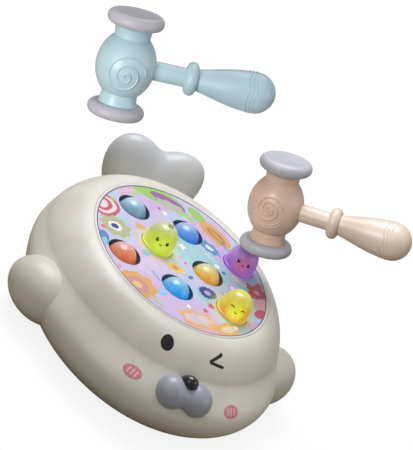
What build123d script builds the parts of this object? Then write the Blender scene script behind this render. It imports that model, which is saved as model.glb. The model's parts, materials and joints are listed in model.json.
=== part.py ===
from build123d import *
from math import asin, cos, degrees, radians, sin
import os

os.makedirs("parts", exist_ok=True)

# Mole pounding game in the form of a lying seal, with two toy hammers.
# The origin is on the case's flat underside, below the middle of the mole field.
# +Z is up, +Y runs to the tail, and -Y to the seal's face. Sizes are in millimetres.

# Play deck and mole field
deck_height = 67.5
deck_thickness = 4.5
panel_half_width = 71.0
panel_half_length = 78.0
panel_thickness = 1.6
bezel_width = 2.0
bezel_stand = 0.5
seat_gap = 0.2
mole_pitch_across = 44.7
mole_pitch_along = 31.5
middle_pitch_along = 38.2
inner_pitch_across = 21.5
field_turn = -14.8
mole_hole_radius = 13.1
mole_travel = 13.5

# Seal body: two rounded forms that run into each other, with a soft fold between them
wall = 2.5
upper_half_width = 99.3
upper_half_length = 114.0
upper_waist_height = 30.7
upper_rise = 59.9
upper_under_depth = 37.5
shoulder_drop = 7.5
shoulder_height = deck_height - shoulder_drop
shoulder_run_out = 8.0
lower_half_width = 103.7
lower_half_length = 119.8
lower_centre_set_back = 11.3
front_end = -(lower_half_length + lower_centre_set_back)
lower_waist_height = 24.9
lower_rise = 35.5
lower_under_depth = 48.9
fold_radius = 6.0
parting_height = 8.0
form_gap = 0.3
fold_probe_share = 0.37
skin_tolerance = 0.01

# Moles
cap_collar_radius = 12.7
cap_collar_height = 2.5
cap_dome_radius = 12.2
cap_dome_height = 17.5
cap_wall = 1.4
cap_stand_popped = 1.7
cap_leaf_radius = 2.2
cap_leaf_height = 2.6
sleeve_wall = 1.8
sleeve_depth = 17.0
stem_radius = 3.5
stem_disc_radius = 12.2
stem_disc_thickness = 2.0
stem_spigot_height = 1.2
stem_window_radius = 2.2
stem_window_ring = 7.2
stem_fit = 0.2
stem_barb_extra = 1.1
stem_barb_height = 1.6
stem_barb_gap = 0.1
spring_inner_radius = 4.6
spring_wire = 1.2
spring_seat_gap = 0.1

# Mole tray, board and switches
tray_thickness = 3.0
tray_half_width = 70.0
tray_half_length = 62.0
tray_clearance_under_disc = 14.0
tray_window_radius = 3.6
tray_post_radius = 4.5
tray_post_across = 64.0
tray_post_along = 12.0
board_height = 12.0
board_thickness = 1.6
board_half_width = 66.0
board_half_length = 54.0
board_post_radius = 4.0
board_post_side = 57.0
board_post_corner = (28.0, 38.0)
switch_side = 6.0
switch_body_height = 3.4
switch_button_radius = 1.7
switch_button_height = 1.6
switch_stem_gap = 0.3
led_radius = 2.5
led_height = 5.0
led_offset = 8.4

# Underside
floor_thickness = 2.5
foot_radius = 9.0
foot_thickness = 3.0
foot_recess = 1.2
foot_chamfer = 0.6
foot_front_across = 54.0
foot_front_inset = 59.1
foot_front_along = front_end + foot_front_inset
foot_back_across = 52.0
foot_back_along = 54.0
cell_radius = 7.1
cell_length = 50.0
cell_nub_radius = 2.7
cell_nub_length = 1.2
cell_pitch = 15.2
cell_count = 3
bay_wall = 1.8
bay_front_inset = 47.6
bay_centre = front_end + bay_front_inset
bay_side_room = 4.0
bay_height = 16.9
bay_end_room = 0.3
contact_thickness = 0.8
contact_width = 9.0
contact_height = 11.0
door_thickness = 2.2
door_lip = 2.5
door_fit = 0.3
door_rib_count = 5
door_rib_width = 1.2
door_rib_depth = 0.8
door_screw_set_off = 2.0
door_ear_radius = 4.2
door_ear_thickness = 3.2
door_post_radius = 6.6
speaker_radius = 20.0
speaker_back = 60.0
speaker_frame_height = 4.0
speaker_magnet_radius = 9.5
speaker_magnet_height = 4.5
speaker_cone_depth = 2.4
speaker_neck_radius = 12.0
speaker_rim_height = 1.4
speaker_wall = 1.6
grille_hole_radius = 1.6
grille_pitch = 5.0
grille_count = 4
knob_across = 64.0
knob_along = 28.0
knob_length = 9.0
knob_width = 5.0
knob_travel = 5.0
knob_stand = 1.2
knob_flange = 2.0
knob_flange_thickness = 1.4
knob_fit = 0.3
slide_switch_height = 7.0
slide_switch_wall = 1.6

# Screws
case_screw_radius = 1.5
case_screw_head_radius = 3.0
case_screw_head_height = 2.0
case_screw_depth = 4.2
case_post_radius = 4.2
case_post_side = (76.0, 8.0)
case_post_front_inset = 41.1
case_post_front = (46.0, front_end + case_post_front_inset)
case_post_back = 88.0
case_screw_length = 16.0
small_screw_radius = 1.1
small_screw_head_radius = 2.3
small_screw_head_height = 1.5
small_screw_length = 7.5
pilot_share = 0.85
thread_gap = 0.05
cross_width = 0.8
cross_depth = 1.0

# Face, flippers and tail
muzzle_lobe_across = 9.7
muzzle_lobe_radius = 12.2
muzzle_lobe_half_depth = 10.5
muzzle_centre_height = 39.6
muzzle_front_inset = 11.1
muzzle_along = front_end + muzzle_front_inset
muzzle_tilt = 35.0
muzzle_peg_radius = 3.0
muzzle_peg_length = 17.0
muzzle_peg_lead = 5.0
nose_half_width = 6.8
nose_half_height = 4.4
nose_half_depth = 6.0
nose_height = 47.2
nose_front_inset = 17.1
nose_along = front_end + nose_front_inset
nose_peg_radius = 2.4
nose_peg_length = 15.0
flipper_across = 94.2
flipper_along = -34.3
flipper_height = 21.8
flipper_radius = 21.6
flipper_half_length = 29.0
flipper_sweep = -38.0
tail_lobe_across = 9.4
tail_back = 121.5
tail_lobe_height = 43.3
tail_lobe_half_width = 25.9
tail_lobe_half_depth = 18.3
tail_lobe_half_height = 38.9
tail_lobe_lean = 39.2
tail_lean_back = 10.0
trim_wall = 2.2
plug_radius = 6.0
plug_fit = 0.2
plug_root_depth = 1.7
flipper_peg_length = 26.0
tail_peg_height = 38.0
tail_peg_length = 32.0
inward_y_axis = (0, 1, 0)
outward_y_axis = (0, -1, 0)
lying_along_y = (90, 0, 0)
face_tilt = (muzzle_tilt, 0, 0)

# Hammers
pad_radius = 19.6
pad_thickness = 9.4
pad_spigot_length = 6.0
head_length = 73.0
bulb_radius = 20.5
bulb_half_height = 24.4
neck_radius = 12.3
head_wall = 2.2
pad_fit = 0.2
handle_reach = 103.4
handle_socket_radius = 5.0
handle_tenon_length = 7.0
handle_shaft_radius = 6.6
handle_ring_place = 45.0
handle_ring_radius = 11.6
handle_ring_half_width = 4.2
handle_grip_waist_place = 66.0
handle_grip_waist_radius = 10.2
handle_grip_radius = 14.1
handle_wall = 2.2
hammer_pad_gap = 0.3
pink_head_lift = 57.9
pink_head_place = (48.6, 23.7, deck_height + pink_head_lift)
pink_head_axis = (-0.26, 0.27, 0.93)
pink_handle_axis = (0.82, -0.44, 0.36)
blue_head_place = (-130.0, -13.9, 204.0)
blue_head_axis = (-0.24, 0.32, 0.915)
blue_handle_axis = (0.934, -0.18, 0.31)

round_share = 0.5523
overrun = 1.0


def save(part, name):
    """Labels a finished piece and writes it under its name."""
    part.label = name
    export_step(part, f"parts/{name}.step")
    print(name, round(part.volume, 1))


def bell_line(radius, height, foot):
    """Quarter of a bell's outline, upright at its foot and level at its top."""
    top = foot + height
    return Bezier((radius, foot), (radius, foot + height * round_share), (radius * round_share, top), (0, top))


def bell_ball(place, radius, half_length, turn):
    """Ball of two bells turned about its length, whose skin trims cleanly where it runs into a fold."""
    with BuildPart() as ball:
        with BuildSketch(Plane.XZ):
            with BuildLine():
                crown = bell_line(radius, half_length, 0)
                belly = bell_line(radius, -half_length, 0)
                Line(crown @ 1, belly @ 1)
            make_face()
        revolve(axis=Axis.Z)
    return Pos(*place) * Rot(*turn) * ball.part


def lobe(place, radius, half_length, lay=(0, 0, 0), turn=(0, 0, 0), flatten=1.0):
    """Rounded lobe: half an ellipse turned about its length, laid over, turned and put in its place."""
    with BuildPart() as ball:
        with BuildSketch(Plane.XZ):
            with BuildLine():
                outline = EllipticalCenterArc((0, 0), radius, half_length, start_angle=-90, arc_size=180)
                Line(outline @ 1, outline @ 0)
            make_face()
        revolve(axis=Axis.Z)
        if flatten != 1:
            scale(by=(1, flatten, 1))
    return Pos(*place) * Rot(*turn) * Rot(*lay) * ball.part


def peg(start, way, radius, length):
    """Round peg from a start place along a way."""
    with BuildPart() as pin:
        with BuildSketch(Plane(origin=start, z_dir=way)):
            Circle(radius)
        extrude(amount=length)
    return pin.part


def upper_body(inset):
    """Upper form of the body: an ellipse turned, run out flat at the deck, and stretched along Y."""
    radius = upper_half_width - inset
    rise = upper_rise - inset
    top = deck_height - inset
    bend = degrees(asin((shoulder_height - inset - upper_waist_height) / rise))
    with BuildPart() as turned:
        with BuildSketch(Plane.XZ):
            with BuildLine():
                waist = (0, upper_waist_height)
                flank = EllipticalCenterArc(waist, radius, rise, start_angle=0, arc_size=bend)
                slope = flank % 1
                crest = (flank @ 1) + slope * ((top - (flank @ 1).Y) / slope.Y)
                shoulder = Bezier(flank @ 1, crest, crest - Vector(shoulder_run_out, 0))
                belly = EllipticalCenterArc(
                    (0, upper_waist_height), radius, upper_under_depth - inset, start_angle=270, arc_size=90
                )
                Polyline(shoulder @ 1, (0, top), belly @ 0)
            make_face()
        revolve(axis=Axis.Z)
        scale(by=(1, (upper_half_length - inset) / radius, 1))
    return turned.part


def lower_body(inset):
    """Lower form of the body, which carries the cheeks and the chin."""
    radius = lower_half_width - inset
    with BuildPart() as turned:
        with BuildSketch(Plane.XZ):
            with BuildLine():
                crown = EllipticalCenterArc(
                    (0, lower_waist_height), radius, lower_rise - inset, start_angle=0, arc_size=90
                )
                belly = EllipticalCenterArc(
                    (0, lower_waist_height), radius, lower_under_depth - inset, start_angle=270, arc_size=90
                )
                Line(crown @ 1, belly @ 0)
            make_face()
        revolve(axis=Axis.Z)
        scale(by=(1, (lower_half_length - inset) / radius, 1))
    return Pos(0, -lower_centre_set_back, 0) * turned.part


def body(inset):
    """Both forms of the body joined, with the fold between them rounded."""
    upper = upper_body(inset)
    lower = lower_body(inset)
    joined = upper + lower
    fold = [
        edge
        for edge in joined.edges()
        if all(lies_on(form, edge @ fold_probe_share) for form in (upper, lower))
    ]
    return joined.fillet(fold_radius, fold)


def lies_on(form, point):
    """Says whether a point lies on the skin of a form."""
    return min(face.distance_to(Vertex(point)) for face in form.faces()) < skin_tolerance


# Outer form of the body, the room inside it, and what its trim is cut against
body_form = body(0)
room_form = body(wall)
trim_cutter = body(-form_gap)

# Mole field: name, place across and along, and whether it stands up
field_rows = [
    ("pale_blue", -mole_pitch_across, mole_pitch_along, False),
    ("periwinkle", 0, middle_pitch_along, False),
    ("purple", mole_pitch_across, mole_pitch_along, True),
    ("green", -inner_pitch_across, 0, True),
    ("gold", inner_pitch_across, 0, False),
    ("orange", -mole_pitch_across, -mole_pitch_along, False),
    ("cyan", 0, -middle_pitch_along, False),
    ("yellow", mole_pitch_across, -mole_pitch_along, True),
]


def turned_place(across, along):
    """A place in the mole field after the whole field is turned on the deck."""
    turn = radians(field_turn)
    return (across * cos(turn) - along * sin(turn), across * sin(turn) + along * cos(turn))


mole_places = [turned_place(across, along) for _, across, along, _ in field_rows]

# Heights of the mole stack in its lowered place
collar_foot = deck_height + cap_stand_popped - cap_collar_height - mole_travel
disc_foot = collar_foot - stem_disc_thickness
tray_top = disc_foot - tray_clearance_under_disc
tray_foot = tray_top - tray_thickness
board_top = board_height + board_thickness
switch_top = board_top + switch_body_height + switch_button_height
stem_foot = switch_top + switch_stem_gap
barb_top = tray_foot - mole_travel - stem_barb_gap

tray_post_places = [
    (x_side * tray_post_across, y_side * tray_post_along) for x_side in (-1, 1) for y_side in (-1, 1)
]
board_post_places = [(side * board_post_side, 0) for side in (-1, 1)] + [
    (side * board_post_corner[0], side * board_post_corner[1]) for side in (-1, 1)
]
case_post_places = [
    (side * across, along) for side in (-1, 1) for across, along in (case_post_side, case_post_front)
] + [(0, case_post_back)]
foot_places = [
    (side * across, along)
    for side in (-1, 1)
    for across, along in ((foot_front_across, foot_front_along), (foot_back_across, foot_back_along))
]
panel_seat_height = deck_height - panel_thickness
bezel_half_width = panel_half_width + seat_gap + bezel_width
bezel_half_length = panel_half_length + seat_gap + bezel_width

muzzle_pegs = [
    (side * muzzle_lobe_across, muzzle_along - muzzle_peg_lead, muzzle_centre_height) for side in (-1, 1)
]
nose_place = (0, nose_along, nose_height)
flipper_places = {side: (side * flipper_across, flipper_along, flipper_height) for side in (-1, 1)}


def peg_start(form, start, way):
    """Place just inside a form's skin, seen from a start place along a way."""
    hits = [(Vector(*start) - point).length for point, _ in form.find_intersection_points(Axis(start, way))]
    return Vector(*start) + Vector(*way) * (max(hits) - plug_root_depth)


def flipper_form(side, inset):
    """Flipper's egg form on one side, swept back."""
    return lobe(
        flipper_places[side],
        flipper_radius - inset,
        flipper_half_length - inset,
        lying_along_y,
        (0, 0, side * flipper_sweep),
    )


def mirrored(form):
    """The half of a form on the +X side, joined with its mirror image."""
    half = split(form, bisect_by=Plane.YZ, keep=Keep.TOP, mode=Mode.PRIVATE)
    return half + mirror(half, about=Plane.YZ, mode=Mode.PRIVATE)


def tail_lobe(inset):
    """One of the tail's two lobes, which lean apart."""
    return lobe(
        (tail_lobe_across, tail_back, tail_lobe_height),
        tail_lobe_half_width - inset,
        tail_lobe_half_height - inset,
        turn=(-tail_lean_back, tail_lobe_lean, 0),
        flatten=(tail_lobe_half_depth - inset) / (tail_lobe_half_width - inset),
    )


flipper_pegs = {
    side: peg_start(flipper_form(side, 0), place, (side, 0, 0)) for side, place in flipper_places.items()
}
tail_peg = peg_start(tail_lobe(0), (0, tail_back, tail_peg_height), inward_y_axis)

# Upper shell
with BuildPart() as deck_posts:
    with BuildSketch(Plane.XY.offset(parting_height)):
        with Locations(*case_post_places):
            Circle(case_post_radius)
    extrude(amount=deck_height - parting_height)
    with BuildSketch(Plane.XY.offset(tray_top)):
        with Locations(*tray_post_places):
            Circle(tray_post_radius)
    extrude(amount=deck_height - tray_top)
    with BuildSketch(Plane.XY.offset(deck_height - sleeve_depth)):
        with Locations(*mole_places):
            Circle(mole_hole_radius + sleeve_wall)
    extrude(amount=sleeve_depth)
    add(body_form, mode=Mode.INTERSECT)

with BuildPart() as upper_shell:
    add(body_form)
    add(room_form, mode=Mode.SUBTRACT)
    with BuildSketch(Plane.XY.offset(deck_height - deck_thickness)):
        Ellipse(bezel_half_width, bezel_half_length)
    extrude(amount=deck_thickness - panel_thickness)
    add(deck_posts.part)
    split(bisect_by=Plane.XY.offset(parting_height), keep=Keep.TOP)
    with BuildSketch(Plane.XY.offset(panel_seat_height)):
        Ellipse(bezel_half_width + seat_gap, bezel_half_length + seat_gap)
    extrude(amount=deck_height, mode=Mode.SUBTRACT)
    with BuildSketch(Plane.XY.offset(deck_height - sleeve_depth - overrun)):
        with Locations(*mole_places):
            Circle(mole_hole_radius)
    extrude(amount=deck_height, mode=Mode.SUBTRACT)
    with BuildSketch(Plane.XY.offset(parting_height)):
        with Locations(*case_post_places):
            Circle(case_screw_radius * pilot_share)
    extrude(amount=case_screw_length, mode=Mode.SUBTRACT)
    with BuildSketch(Plane.XY.offset(tray_top)):
        with Locations(*tray_post_places):
            Circle(small_screw_radius * pilot_share)
    extrude(amount=small_screw_length, mode=Mode.SUBTRACT)
    for side, place in flipper_pegs.items():
        add(peg(place, (-side, 0, 0), plug_radius + plug_fit, flipper_peg_length), mode=Mode.SUBTRACT)
    add(peg(tail_peg, outward_y_axis, plug_radius + plug_fit, tail_peg_length), mode=Mode.SUBTRACT)
    for place in muzzle_pegs:
        add(peg(place, inward_y_axis, muzzle_peg_radius + plug_fit, muzzle_peg_length), mode=Mode.SUBTRACT)
    add(peg(nose_place, inward_y_axis, nose_peg_radius + plug_fit, nose_peg_length), mode=Mode.SUBTRACT)
save(upper_shell.part, "upper_shell")

# Play panel, printed on its top, and the thin ring round it
with BuildPart() as play_panel:
    with BuildSketch(Plane.XY.offset(panel_seat_height)):
        Ellipse(panel_half_width, panel_half_length)
        with Locations(*mole_places):
            Circle(mole_hole_radius, mode=Mode.SUBTRACT)
    extrude(amount=panel_thickness)
save(play_panel.part, "play_panel")

with BuildPart() as panel_bezel:
    with BuildSketch(Plane.XY.offset(panel_seat_height)):
        Ellipse(bezel_half_width, bezel_half_length)
        Ellipse(panel_half_width + seat_gap, panel_half_length + seat_gap, mode=Mode.SUBTRACT)
    extrude(amount=panel_thickness + bezel_stand)
save(panel_bezel.part, "panel_bezel")


def mole_cap(x, y, foot, with_leaf):
    """Bell-shaped translucent cap with a collar that slides in its sleeve."""
    inner_radius = cap_dome_radius - cap_wall
    leaf_foot = cap_collar_height + cap_dome_height - cap_wall / 2
    with BuildPart() as cap:
        with BuildSketch(Plane.XZ):
            with BuildLine():
                outer = bell_line(cap_dome_radius, cap_dome_height, cap_collar_height)
                inner = bell_line(inner_radius, cap_dome_height - cap_wall, cap_collar_height)
                Line(outer @ 1, inner @ 1)
                Polyline(
                    inner @ 0,
                    (inner_radius, 0),
                    (cap_collar_radius, 0),
                    (cap_collar_radius, cap_collar_height),
                    outer @ 0,
                )
            make_face()
        revolve(axis=Axis.Z)
        if with_leaf:
            with BuildSketch(Plane.XZ):
                with BuildLine():
                    leaf = bell_line(cap_leaf_radius, cap_leaf_height, leaf_foot)
                    Polyline(leaf @ 1, (0, leaf_foot), leaf @ 0)
                make_face()
            revolve(axis=Axis.Z)
    return Pos(x, y, foot) * cap.part


def mole_stem(x, y, foot):
    """Stem under a cap, with light windows in its disc and a barb below the tray."""
    lift = foot - collar_foot
    disc_plane = Plane.XY.offset(foot - stem_disc_thickness)
    with BuildPart() as stem:
        with BuildSketch(disc_plane):
            with Locations((x, y)):
                Circle(stem_disc_radius)
        extrude(amount=stem_disc_thickness)
        with BuildSketch(Plane.XY.offset(foot)):
            with Locations((x, y)):
                Circle(cap_dome_radius - cap_wall - stem_fit)
        extrude(amount=stem_spigot_height)
        with BuildSketch(disc_plane):
            with Locations((x, y)):
                with PolarLocations(stem_window_ring, 3):
                    Circle(stem_window_radius)
        extrude(amount=stem_disc_thickness + stem_spigot_height, mode=Mode.SUBTRACT)
        with BuildSketch(Plane.XY.offset(stem_foot + lift)):
            with Locations((x, y)):
                Circle(stem_radius)
        extrude(amount=disc_foot - stem_foot)
        with BuildSketch(Plane.XY.offset(barb_top + lift - stem_barb_height)):
            with Locations((x, y)):
                Circle(stem_radius)
        with BuildSketch(Plane.XY.offset(barb_top + lift)):
            with Locations((x, y)):
                Circle(stem_radius + stem_barb_extra)
        loft()
    return stem.part


def mole_spring(x, y, foot):
    """Return spring between the tray and the stem's disc, as a sleeve of its outer and inner size."""
    bottom = tray_top + spring_seat_gap
    with BuildPart() as spring:
        with BuildSketch(Plane.XY.offset(bottom)):
            with Locations((x, y)):
                Circle(spring_inner_radius + spring_wire)
                Circle(spring_inner_radius, mode=Mode.SUBTRACT)
        extrude(amount=foot - stem_disc_thickness - spring_seat_gap - bottom)
    return spring.part


# Moles
for (name, _, _, popped), (x, y) in zip(field_rows, mole_places):
    foot = collar_foot + (mole_travel if popped else 0)
    save(mole_cap(x, y, foot, name == "green"), f"{name}_mole_cap")
    save(mole_stem(x, y, foot), f"{name}_mole_stem")
    save(mole_spring(x, y, foot), f"{name}_mole_spring")

# Tray that guides the stems
with BuildPart() as mole_tray:
    with BuildSketch(Plane.XY.offset(tray_foot)):
        Ellipse(tray_half_width, tray_half_length)
        with Locations(*mole_places):
            Circle(stem_radius + stem_fit, mode=Mode.SUBTRACT)
        with Locations(*[(x + led_offset, y) for x, y in mole_places]):
            Circle(tray_window_radius - stem_fit, mode=Mode.SUBTRACT)
        with Locations(*tray_post_places):
            Circle(small_screw_radius + stem_fit, mode=Mode.SUBTRACT)
    extrude(amount=tray_thickness)
save(mole_tray.part, "mole_tray")


def screw_group(places, seat, radius, head_radius, head_height, length, up):
    """Round-headed screws with a cross slot, seated at one height and all pointing one way."""
    way = 1 if up else -1
    with BuildPart() as screws:
        with BuildSketch(Plane.XY.offset(seat)):
            with Locations(*places):
                Circle(head_radius)
        extrude(amount=-way * head_height)
        with BuildSketch(Plane.XY.offset(seat)):
            with Locations(*places):
                Circle(radius * pilot_share - thread_gap)
        extrude(amount=way * length)
        with BuildSketch(Plane.XY.offset(seat - way * head_height)):
            with Locations(*places):
                Rectangle(head_radius, cross_width)
                Rectangle(cross_width, head_radius)
        extrude(amount=way * cross_depth, mode=Mode.SUBTRACT)
    return screws.part


save(
    screw_group(
        tray_post_places, tray_foot, small_screw_radius, small_screw_head_radius,
        small_screw_head_height, tray_thickness + small_screw_length - overrun, True,
    ),
    "tray_screws",
)

# Circuit board with its switches and lamps
with BuildPart() as circuit_board:
    with BuildSketch(Plane.XY.offset(board_height)):
        Ellipse(board_half_width, board_half_length)
        with Locations(*board_post_places):
            Circle(small_screw_radius + stem_fit, mode=Mode.SUBTRACT)
    extrude(amount=board_thickness)
save(circuit_board.part, "circuit_board")

with BuildPart() as mole_switches:
    with BuildSketch(Plane.XY.offset(board_top)):
        with Locations(*mole_places):
            Rectangle(switch_side, switch_side)
    extrude(amount=switch_body_height)
    with BuildSketch(Plane.XY.offset(board_top + switch_body_height)):
        with Locations(*mole_places):
            Circle(switch_button_radius)
    extrude(amount=switch_button_height)
save(mole_switches.part, "mole_switches")

with BuildPart() as mole_lamps:
    with BuildSketch(Plane.XY.offset(board_top)):
        with Locations(*[(x + led_offset, y) for x, y in mole_places]):
            Circle(led_radius)
    extrude(amount=led_height)
    fillet(mole_lamps.faces().group_by(Axis.Z)[-1].edges(), led_radius * pilot_share)
save(mole_lamps.part, "mole_lamps")

save(
    screw_group(
        board_post_places, board_top, small_screw_radius, small_screw_head_radius,
        small_screw_head_height, board_thickness + small_screw_length - overrun, False,
    ),
    "board_screws",
)

# Lower shell
bay_width = cell_length + cell_nub_length + 2 * (contact_thickness + bay_end_room)
bay_length = cell_count * cell_pitch
bay_cut = (bay_width, bay_length)
door_width = bay_width + 2 * door_lip
door_length = bay_length + 2 * door_lip
door_screw_place = (0, bay_centre + door_length / 2 + door_screw_set_off)
knob_slot_length = knob_length + knob_travel + 2 * knob_fit
door_plate_thickness = door_thickness / 2
foot_recess_radius = foot_radius + seat_gap

with BuildPart() as lower_posts:
    with BuildSketch(Plane.XY):
        with Locations(*board_post_places):
            Circle(board_post_radius)
    extrude(amount=board_height)
    with BuildSketch(Plane.XY):
        with Locations((0, bay_centre)):
            Rectangle(bay_width + 2 * bay_wall, bay_length + 2 * bay_wall)
    extrude(amount=bay_height + bay_wall)
    with BuildSketch(Plane.XY):
        with Locations((0, speaker_back)):
            Circle(speaker_radius + speaker_wall + seat_gap)
            Circle(speaker_radius + seat_gap, mode=Mode.SUBTRACT)
    extrude(amount=floor_thickness + speaker_frame_height)
    with BuildSketch(Plane.XY):
        with Locations(*case_post_places):
            Circle(case_post_radius)
        with Locations(door_screw_place):
            Circle(door_post_radius)
    extrude(amount=parting_height)
    add(body_form, mode=Mode.INTERSECT)

with BuildPart() as pan_room:
    add(room_form)
    split(bisect_by=Plane.XY.offset(floor_thickness), keep=Keep.TOP)

with BuildPart() as lower_shell:
    add(body_form)
    split(bisect_by=Plane.XY.offset(parting_height), keep=Keep.BOTTOM)
    split(bisect_by=Plane.XY, keep=Keep.TOP)
    add(pan_room.part, mode=Mode.SUBTRACT)
    add(lower_posts.part)
    with BuildSketch(Plane.XY):
        with Locations((0, bay_centre)):
            Rectangle(*bay_cut)
    extrude(amount=bay_height, mode=Mode.SUBTRACT)
    with BuildSketch(Plane.XY):
        with Locations((0, bay_centre)):
            Rectangle(door_width, door_length)
    extrude(amount=door_plate_thickness, mode=Mode.SUBTRACT)
    with BuildSketch(Plane.XY):
        with Locations(door_screw_place):
            Circle(door_ear_radius + door_fit)
    extrude(amount=door_ear_thickness, mode=Mode.SUBTRACT)
    with BuildSketch(Plane.XY):
        with Locations(door_screw_place):
            Circle(small_screw_radius * pilot_share)
    extrude(amount=parting_height - overrun, mode=Mode.SUBTRACT)
    with BuildSketch(Plane.XY):
        with Locations(*foot_places):
            Circle(foot_recess_radius)
    extrude(amount=foot_recess, mode=Mode.SUBTRACT)
    with BuildSketch(Plane.XY):
        with Locations((0, speaker_back)):
            with HexLocations(grille_pitch / 2, grille_count, grille_count):
                Circle(grille_hole_radius)
    extrude(amount=floor_thickness, mode=Mode.SUBTRACT)
    with BuildSketch(Plane.XY):
        with Locations((knob_across, knob_along)):
            Rectangle(knob_width + 2 * knob_fit, knob_slot_length)
    extrude(amount=floor_thickness, mode=Mode.SUBTRACT)
    with BuildSketch(Plane.XY):
        with Locations(*case_post_places):
            Circle(case_screw_head_radius + seat_gap)
    extrude(amount=case_screw_depth, mode=Mode.SUBTRACT)
    with BuildSketch(Plane.XY):
        with Locations(*case_post_places):
            Circle(case_screw_radius + seat_gap)
    extrude(amount=parting_height, mode=Mode.SUBTRACT)
    with BuildSketch(Plane.XY.offset(board_height)):
        with Locations(*board_post_places):
            Circle(small_screw_radius * pilot_share)
    extrude(amount=-small_screw_length, mode=Mode.SUBTRACT)
save(lower_shell.part, "lower_shell")

# Feet
with BuildPart() as rubber_feet:
    with BuildSketch(Plane.XY.offset(foot_recess - foot_thickness)):
        with Locations(*foot_places):
            Circle(foot_radius)
    extrude(amount=foot_thickness)
    chamfer(rubber_feet.faces().group_by(Axis.Z)[0].edges(), foot_chamfer)
save(rubber_feet.part, "rubber_feet")

# Battery door, its screw, the cells and their contacts
with BuildPart() as battery_door:
    with BuildSketch(Plane.XY):
        with Locations((0, bay_centre)):
            Rectangle(door_width - 2 * door_fit, door_length - 2 * door_fit)
    extrude(amount=door_plate_thickness)
    with BuildSketch(Plane.XY):
        with Locations(door_screw_place):
            Circle(door_ear_radius)
    extrude(amount=door_ear_thickness)
    with BuildSketch(Plane.XY.offset(door_plate_thickness)):
        with Locations((0, bay_centre)):
            Rectangle(bay_width - 2 * door_fit, bay_length - 2 * door_fit)
    extrude(amount=door_thickness - door_plate_thickness)
    with BuildSketch(Plane.XY):
        with Locations((0, bay_centre)):
            with GridLocations(0, door_length / (door_rib_count + 1), 1, door_rib_count):
                Rectangle(bay_width / 2, door_rib_width)
    extrude(amount=door_rib_depth, mode=Mode.SUBTRACT)
    with BuildSketch(Plane.XY):
        with Locations(door_screw_place):
            Circle(small_screw_head_radius + seat_gap)
    extrude(amount=small_screw_head_height + seat_gap, mode=Mode.SUBTRACT)
    with BuildSketch(Plane.XY):
        with Locations(door_screw_place):
            Circle(small_screw_radius + stem_fit)
    extrude(amount=door_ear_thickness, mode=Mode.SUBTRACT)
save(battery_door.part, "battery_door")

save(
    screw_group(
        [door_screw_place], small_screw_head_height + seat_gap, small_screw_radius, small_screw_head_radius,
        small_screw_head_height, parting_height - small_screw_head_height - seat_gap - 2 * overrun, True,
    ),
    "door_screw",
)
save(
    screw_group(
        case_post_places, case_screw_depth, case_screw_radius, case_screw_head_radius,
        case_screw_head_height, case_screw_length, True,
    ),
    "case_screws",
)

cell_height = door_thickness + seat_gap + cell_radius
cell_rows = [
    (bay_centre + (row - (cell_count - 1) / 2) * cell_pitch, 1 - 2 * (row % 2)) for row in range(cell_count)
]
cell_end = (cell_length + cell_nub_length) / 2

with BuildPart() as battery_cells:
    for along, way in cell_rows:
        with BuildSketch(Plane(origin=(-way * cell_end, along, cell_height), z_dir=(way, 0, 0))):
            Circle(cell_radius)
        extrude(amount=cell_length)
        nub_foot = (way * (cell_end - cell_nub_length), along, cell_height)
        with BuildSketch(Plane(origin=nub_foot, z_dir=(way, 0, 0))):
            Circle(cell_nub_radius)
        extrude(amount=cell_nub_length)
save(battery_cells.part, "battery_cells")

with BuildPart() as battery_contacts:
    for side in (-1, 1):
        bay_end = (side * bay_width / 2, 0, cell_height)
        with BuildSketch(Plane(origin=bay_end, z_dir=(-side, 0, 0), x_dir=(0, 1, 0))):
            with Locations(*[(along, 0) for along, _ in cell_rows]):
                Rectangle(contact_width, contact_height)
        extrude(amount=contact_thickness)
save(battery_contacts.part, "battery_contacts")

# Speaker over its grille
with BuildPart() as speaker:
    with BuildSketch(Plane.XY.offset(floor_thickness)):
        with Locations((0, speaker_back)):
            Circle(speaker_radius)
    extrude(amount=speaker_rim_height)
    with BuildSketch(Plane.XY.offset(floor_thickness + speaker_rim_height)):
        with Locations((0, speaker_back)):
            Circle(speaker_radius - speaker_wall)
    with BuildSketch(Plane.XY.offset(floor_thickness + speaker_frame_height)):
        with Locations((0, speaker_back)):
            Circle(speaker_neck_radius)
    loft()
    with BuildSketch(Plane.XY.offset(floor_thickness + speaker_frame_height)):
        with Locations((0, speaker_back)):
            Circle(speaker_magnet_radius)
    extrude(amount=speaker_magnet_height)
    with BuildSketch(Plane.XY.offset(floor_thickness)):
        with Locations((0, speaker_back)):
            Circle(speaker_radius - 2 * speaker_wall)
    with BuildSketch(Plane.XY.offset(floor_thickness + speaker_cone_depth)):
        with Locations((0, speaker_back)):
            Circle(speaker_magnet_radius)
    loft(mode=Mode.SUBTRACT)
save(speaker.part, "speaker")

# Power knob in its slot, and the switch that it moves
knob_start = knob_along - knob_travel / 2
knob_top = floor_thickness + knob_fit + knob_flange_thickness
flange_width = knob_width + 2 * knob_flange
flange_length = knob_length + 2 * knob_flange
with BuildPart() as power_knob:
    with BuildSketch(Plane.XY.offset(-knob_stand)):
        with Locations((knob_across, knob_start)):
            Rectangle(knob_width, knob_length)
    extrude(amount=knob_stand + knob_top)
    with BuildSketch(Plane.XY.offset(knob_top - knob_flange_thickness)):
        with Locations((knob_across, knob_start)):
            Rectangle(flange_width, flange_length)
    extrude(amount=knob_flange_thickness)
    with BuildSketch(Plane.XY.offset(-knob_stand)):
        with Locations((knob_across, knob_start)):
            with GridLocations(0, 3 * cross_width, 1, 3):
                Rectangle(knob_width, cross_width)
    extrude(amount=cross_width / 2, mode=Mode.SUBTRACT)
save(power_knob.part, "power_knob")

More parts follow.
